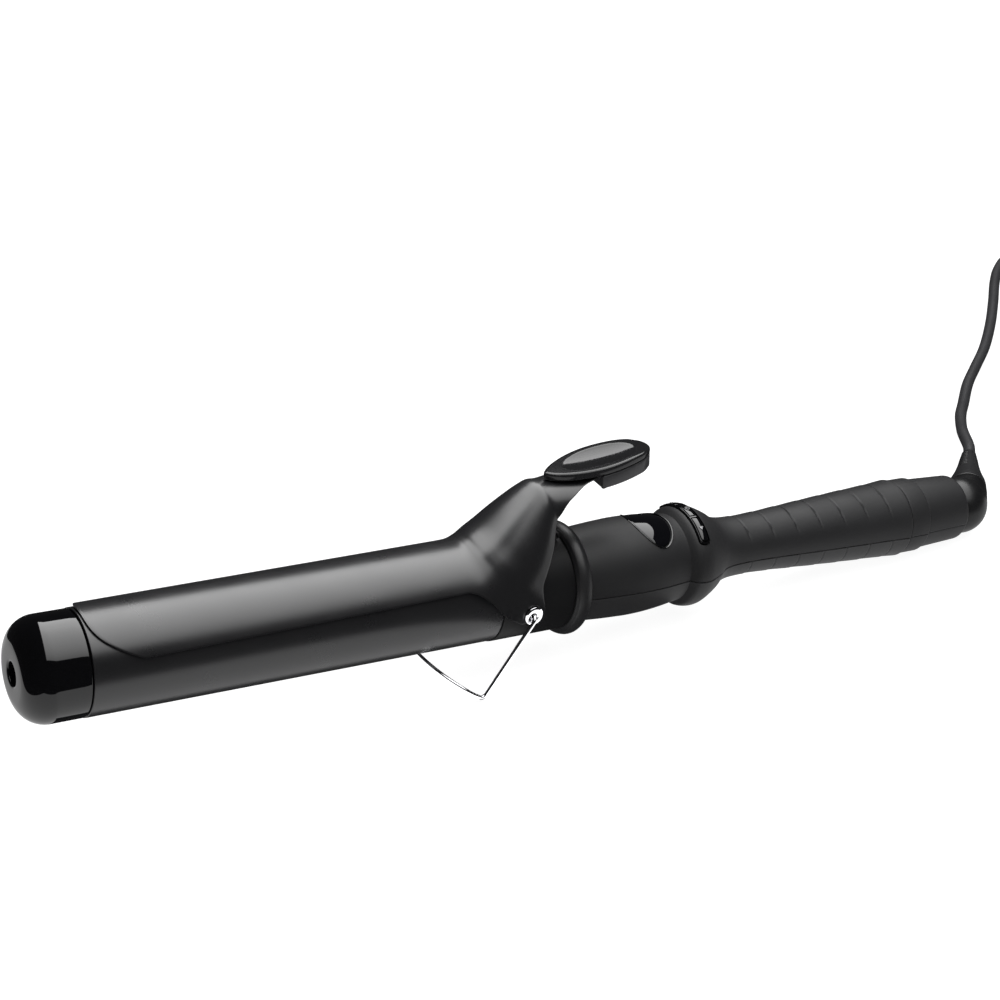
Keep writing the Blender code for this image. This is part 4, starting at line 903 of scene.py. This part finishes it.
piece("sleeve_skin", sleeve, SHELL, slot="shell_black", replaces=("tail_sleeve",))

stem_start = BAND_START + 0.0040
neck = [(BALL_X - 0.0120 * cos(radians(d)), 0.0120 * sin(radians(d)))
        for d in range(42, 178, 5)]
elbow = piece("elbow_skin", lathe("elbow_skin", [(stem_start, 0), (stem_start, 0.0078),
                                                 (neck[0][0] - 0.0010, 0.0078), *neck,
                                                 (BALL_X + 0.0120, 0)], 72),
              ELBOW, "swivel", "shell_black", ("swivel_elbow",))
side_way = Matrix.Translation(CROSSING) @ Matrix.Rotation(ELBOW_ANGLE, 4, "Z")
boss = lathe("boss", [(-0.001, 0), (-0.001, 0.0088), (0.0130, 0.0084), (0.0130, 0)], 72)
boss.transform(side_way)
boolean(elbow, cutter_from(boss), "UNION")
melt = elbow.modifiers.new("melt", "REMESH")
melt.mode, melt.voxel_size, melt.use_smooth_shade = "VOXEL", 0.00055, True
ease_out = elbow.modifiers.new("ease", "SMOOTH")
ease_out.factor, ease_out.iterations = 0.5, 14
applied(elbow, 60)

RELIEF_START, RELIEF_END = 0.0133, 0.0497


def ribs(x, angle, radius):
    """Ribs near the relief's mouth, apart from a plain spine on each side."""
    share = (ease(RELIEF_END - 0.0215, RELIEF_END - 0.0195, x)
             * (1 - ease(RELIEF_END - 0.0020, RELIEF_END - 0.0014, x)))
    spine = abs(cos(angle)) > 0.955
    if share <= 0 or radius <= 0.0025 or spine:
        return 0.0
    return share * 0.0011 * (0.5 + 0.5 * cos(2 * pi * (x - RELIEF_END) / 0.0022)) ** 1.3


flare = [(RELIEF_START, 0.0079), (RELIEF_START + 0.0004, 0.0082), (0.0180, 0.0079), (0.0225, 0.0070),
         (0.0265, 0.0062), (0.0310, 0.0055), (0.0360, 0.0048), (0.0410, 0.0043), (0.0460, 0.0037),
         (RELIEF_END - 0.0004, 0.0033)]
flare = [(p.x, p.y) for p in curve_through(flare, 0.00022)]
relief_mesh = lathe("relief_skin", [(RELIEF_START, 0)] + flare + [(RELIEF_END, 0.0030), (RELIEF_END, 0)],
                    96, ribs, 50)
strain = piece("relief_skin", relief_mesh, RING, "swivel", "cord_rubber", ("strain_relief",),
               IRON @ side_way)

# ------------------------ the CAD nodes that stay
KEPT = {
    STEEL: ("tip_screw", "tip_anchor", "thermal_sensor", "clamp_spring", "thumb_screw",
            "shell_screw_front", "shell_screw_middle", "shell_screw_rear"),
    ALUMINIUM: ("heater_block_upper", "heater_block_lower"),
    CERAMIC: ("ptc_element", "heater_lead_near", "heater_lead_far"),
    BOARD: ("circuit_board", "contact_holder"),
    CHIP: ("triac", "display_driver", "lcd_module"),
    BRASS: ("contact_ring_line", "contact_ring_neutral"),
    NICKEL: ("plug_pin_line", "plug_pin_neutral"),
}
for mat, names in KEPT.items():
    for name in names:
        node = frame["nodes"][name]
        node.data.materials.clear()
        node.data.materials.append(mat)

# ------------------------ cord
COIL_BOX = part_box("cord_coil")
PLUG_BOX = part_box("plug_body")
mouth = IRON @ (CROSSING + AWAY * 0.0500)
inside = IRON @ (CROSSING + AWAY * 0.0440)
# along X and Y from the mouth, and the height of the cord's middle; the heights above
# ROUTE_LIES are for a mouth at ROUTE_MOUTH_HEIGHT
ROUTE_MOUTH_HEIGHT, ROUTE_LIES = 0.009864, 0.0035
CORD_ROUTE = (
    (0.0050, 0.0058, 0.0100), (0.0140, 0.0200, 0.0080),
    (0.0204, 0.0285, 0.0062), (0.0306, 0.0406, 0.0042), (0.0412, 0.0510, 0.0030),
    (0.0570, 0.0665, 0.0028), (0.0735, 0.0800, 0.0028), (0.0925, 0.0955, 0.0028),
    (0.1140, 0.1160, 0.0028), (0.1340, 0.1370, 0.0028), (0.1500, 0.1545, 0.0028),
    (0.1640, 0.1680, 0.0028), (0.1780, 0.1775, 0.0028), (0.1925, 0.1825, 0.0030),
)
drop = mouth.z / ROUTE_MOUTH_HEIGHT
way = [inside, mouth] + [Vector((mouth.x + x, mouth.y + y, z * drop if z > ROUTE_LIES else z))
                         for x, y, z in CORD_ROUTE]
cord_points = curve_through(way, 0.0045)

coil_middle = (COIL_BOX[0] + COIL_BOX[1]) / 2
coil_low, coil_top = COIL_BOX[0].z, COIL_BOX[1].z
OUTER_TURN, INNER_TURN = 0.0352, 0.0244
WHOLE_TURNS, TURNS_PER_LAYER, LAYERS, STEPS_PER_TURN = 11, 3, 4, 20
CLIMB = 0.30                # of a turn, from one layer to the next
ENTRY, ENTRY_OUT, ENTRY_DOWN = 0.30, 0.0073, 0.0010  # turns it takes, and how far out and down it starts
LEAVE = 0.25                # of a turn, to come to where the last bend starts
CORD_BEND = 0.0216          # four cord diameters
BEND_START, BEND_END, BEND_STEPS = 262, 120, 14  # degrees round the last bend
LIFT_ANGLE, LIFT_RUN = 28, 0.034  # the cord lifts off the coil this early, over this run
CLEAR = 0.0003
STRAIGHT = 0.0060           # of cord before the plug
PLUG_HEADING, PLUG_OFFSET, PLUG_TAIL = 30, (0.0058, 0.0179), 0.0183

plug_turn = radians(PLUG_HEADING)
plug_dir = Vector((cos(plug_turn), sin(plug_turn), 0))
plug_middle = Vector((coil_middle.x + PLUG_OFFSET[0], coil_middle.y + PLUG_OFFSET[1],
                      (PLUG_BOX[0].z + PLUG_BOX[1].z) / 2))
plug_tail = plug_middle - plug_dir * PLUG_TAIL
hub = plug_tail - plug_dir * STRAIGHT + Vector((plug_dir.y, -plug_dir.x, 0)) * CORD_BEND
start = radians(BEND_START)
leaving = hub + Vector((cos(start), sin(start), 0)) * CORD_BEND - coil_middle
last_reach = math.hypot(leaving.x, leaving.y)
last_angle = math.atan2(leaving.y, leaving.x)
first_angle = math.atan2(cord_points[-1].y - coil_middle.y, cord_points[-1].x - coil_middle.x)

turns = WHOLE_TURNS + ((first_angle - last_angle) / (2 * pi)) % 1
lift = 2 * CORD_R + CLEAR
lift_turns = LIFT_RUN / (2 * pi * last_reach)
rise = (coil_top - coil_low - 2 * CORD_R) / (LAYERS - 1)
steps = round(turns * STEPS_PER_TURN)
for step in range(1, steps + 1):
    done = turns * step / steps
    layer = min(LAYERS - 1, int(done / TURNS_PER_LAYER))
    within = done - TURNS_PER_LAYER * layer
    share = min(1.0, max(0.0, (within - 0.5) / 2.0))
    reach = OUTER_TURN + (INNER_TURN - OUTER_TURN) * (share if layer % 2 == 0 else 1 - share)
    entry = max(0.0, 1 - done / ENTRY)
    reach += ENTRY_OUT * entry ** 2
    reach += (last_reach - reach) * ease(turns - LEAVE, turns, done)
    level = coil_low + CORD_R + rise * (layer - 1 + ease(0, CLIMB, within) if layer else 0)
    level -= ENTRY_DOWN * entry
    lift_from = turns - LIFT_ANGLE / 360
    level += lift * ease(lift_from, lift_from + lift_turns, done)
    angle = first_angle - 2 * pi * done
    cord_points.append(Vector((coil_middle.x + reach * cos(angle),
                               coil_middle.y + reach * sin(angle), level)))
on_top = coil_top + CORD_R + CLEAR
before = radians(LIFT_ANGLE) * last_reach
bend_run = radians(BEND_START - BEND_END) * CORD_BEND
for step in range(1, BEND_STEPS + 1):
    angle = radians(BEND_START + (BEND_END - BEND_START) * step / BEND_STEPS)
    run = before + bend_run * step / BEND_STEPS
    level = (coil_top - CORD_R + lift * ease(0, LIFT_RUN, run)
             + (plug_middle.z - on_top) * ease(LIFT_RUN, LIFT_RUN + 0.0355, run))
    cord_points.append(Vector((hub.x + CORD_BEND * cos(angle),
                               hub.y + CORD_BEND * sin(angle), level)))
cord_points += [plug_tail + plug_dir * past for past in (-0.003, 0, 0.003, 0.006)]
lead = tube("mains_lead_line", cord_points, CORD_R, RUBBER, "iron", sides=3, place=Matrix())
lead_mesh = made_mesh(lead)
bpy.data.objects.remove(lead, do_unlink=True)
lead_mesh.shade_smooth()
cord = bpy.data.objects.new("mains_lead", lead_mesh)
bpy.context.scene.collection.objects.link(cord)
if not lead_mesh.materials:
    lead_mesh.materials.append(RUBBER)
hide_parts("mains_cord", "cord_coil", "plug_cord")
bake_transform(cord)

# the plug: a flat body that swells from its neck to the pins' face
PLUG_L, PLUG_W, PLUG_H = 0.0360, 0.0240, 0.0137


def plug_half_width(x):
    """Half the plug's width at a distance from its middle."""
    share = (x + PLUG_L / 2) / PLUG_L
    ease = min(1.0, max(0.0, (share - 0.12) / 0.55))
    return 0.0050 + (PLUG_W / 2 - 0.0050) * ease * ease * (3 - 2 * ease)


plug_rows = []
stations = [-PLUG_L / 2 + PLUG_L * i / 46 for i in range(47)]
for i, x in enumerate(stations):
    groove = 0.0007 if i < 14 and i % 4 in (2, 3) else 0.0
    end = min(1.0, (PLUG_L / 2 - abs(x)) / 0.0010 + 0.25)
    half_w = (plug_half_width(x) - groove) * (0.93 + 0.07 * min(1, end))
    half_h = (0.0046 + (PLUG_H / 2 - 0.0046) * min(1.0, (x + PLUG_L / 2) / 0.022) ** 0.8 - groove)
    half_h = min(PLUG_H / 2, half_h) * (0.93 + 0.07 * min(1, end))
    ring = []
    for k in range(40):
        a = 2 * pi * k / 40
        c, s = cos(a), sin(a)
        ring.append((x, half_w * math.copysign(abs(c) ** 0.55, c), half_h * math.copysign(abs(s) ** 0.55, s)))
    plug_rows.append(ring)
plug_rows.insert(0, [(stations[0], 0, 0)] * 40)
plug_rows.append([(stations[-1], 0, 0)] * 40)
plug_mesh = mesh_from("plug_body_skin", [v for ring in plug_rows for v in ring],
                      grid_faces(len(plug_rows), 40), 40)
plug_place = Matrix.Translation(plug_middle) @ Matrix.Rotation(plug_turn, 4, "Z")
plug = piece("plug_skin", plug_mesh, PLUG, "iron", "plug_plastic", ("plug_body",), plug_place)

# the tie: a fabric strap round one side of the coil
tie_angle = radians(-60)
TIE_T, TIE_W = 0.0008, 0.0090
low_in, high_in = coil_low - 0.0002, coil_top + 0.0004
left_in, right_in = 0.0300 - 0.0084 - 0.0012, 0.0300 + 0.0084 + 0.0004
corner = 0.0022
loop = []
for cx, cz, start in ((right_in - corner, high_in - corner, 0), (left_in + corner, high_in - corner, 90),
                      (left_in + corner, low_in + corner, 180), (right_in - corner, low_in + corner, 270)):
    for i in range(7):
        a = radians(start + 15 * i)
        loop.append((cx + corner * cos(a), cz + corner * sin(a), cos(a), sin(a)))
verts = []
for x, z, nx, nz in loop:
    for across, out in ((-0.5, 0.1), (-0.42, 1), (0.42, 1), (0.5, 0.1), (0.42, 0), (-0.42, 0)):
        verts.append((x + nx * TIE_T * out, across * TIE_W, z + nz * TIE_T * out))
tie_mesh = mesh_from("tie_strap", verts, grid_faces(len(loop), 6, True), 50)
tie_place = (Matrix.Translation((coil_middle.x, coil_middle.y, 0)) @ Matrix.Rotation(tie_angle, 4, "Z"))
tie = piece("tie_strap", tie_mesh, STRAP, "iron", "cord_rubber", ("cord_tie",), tie_place)
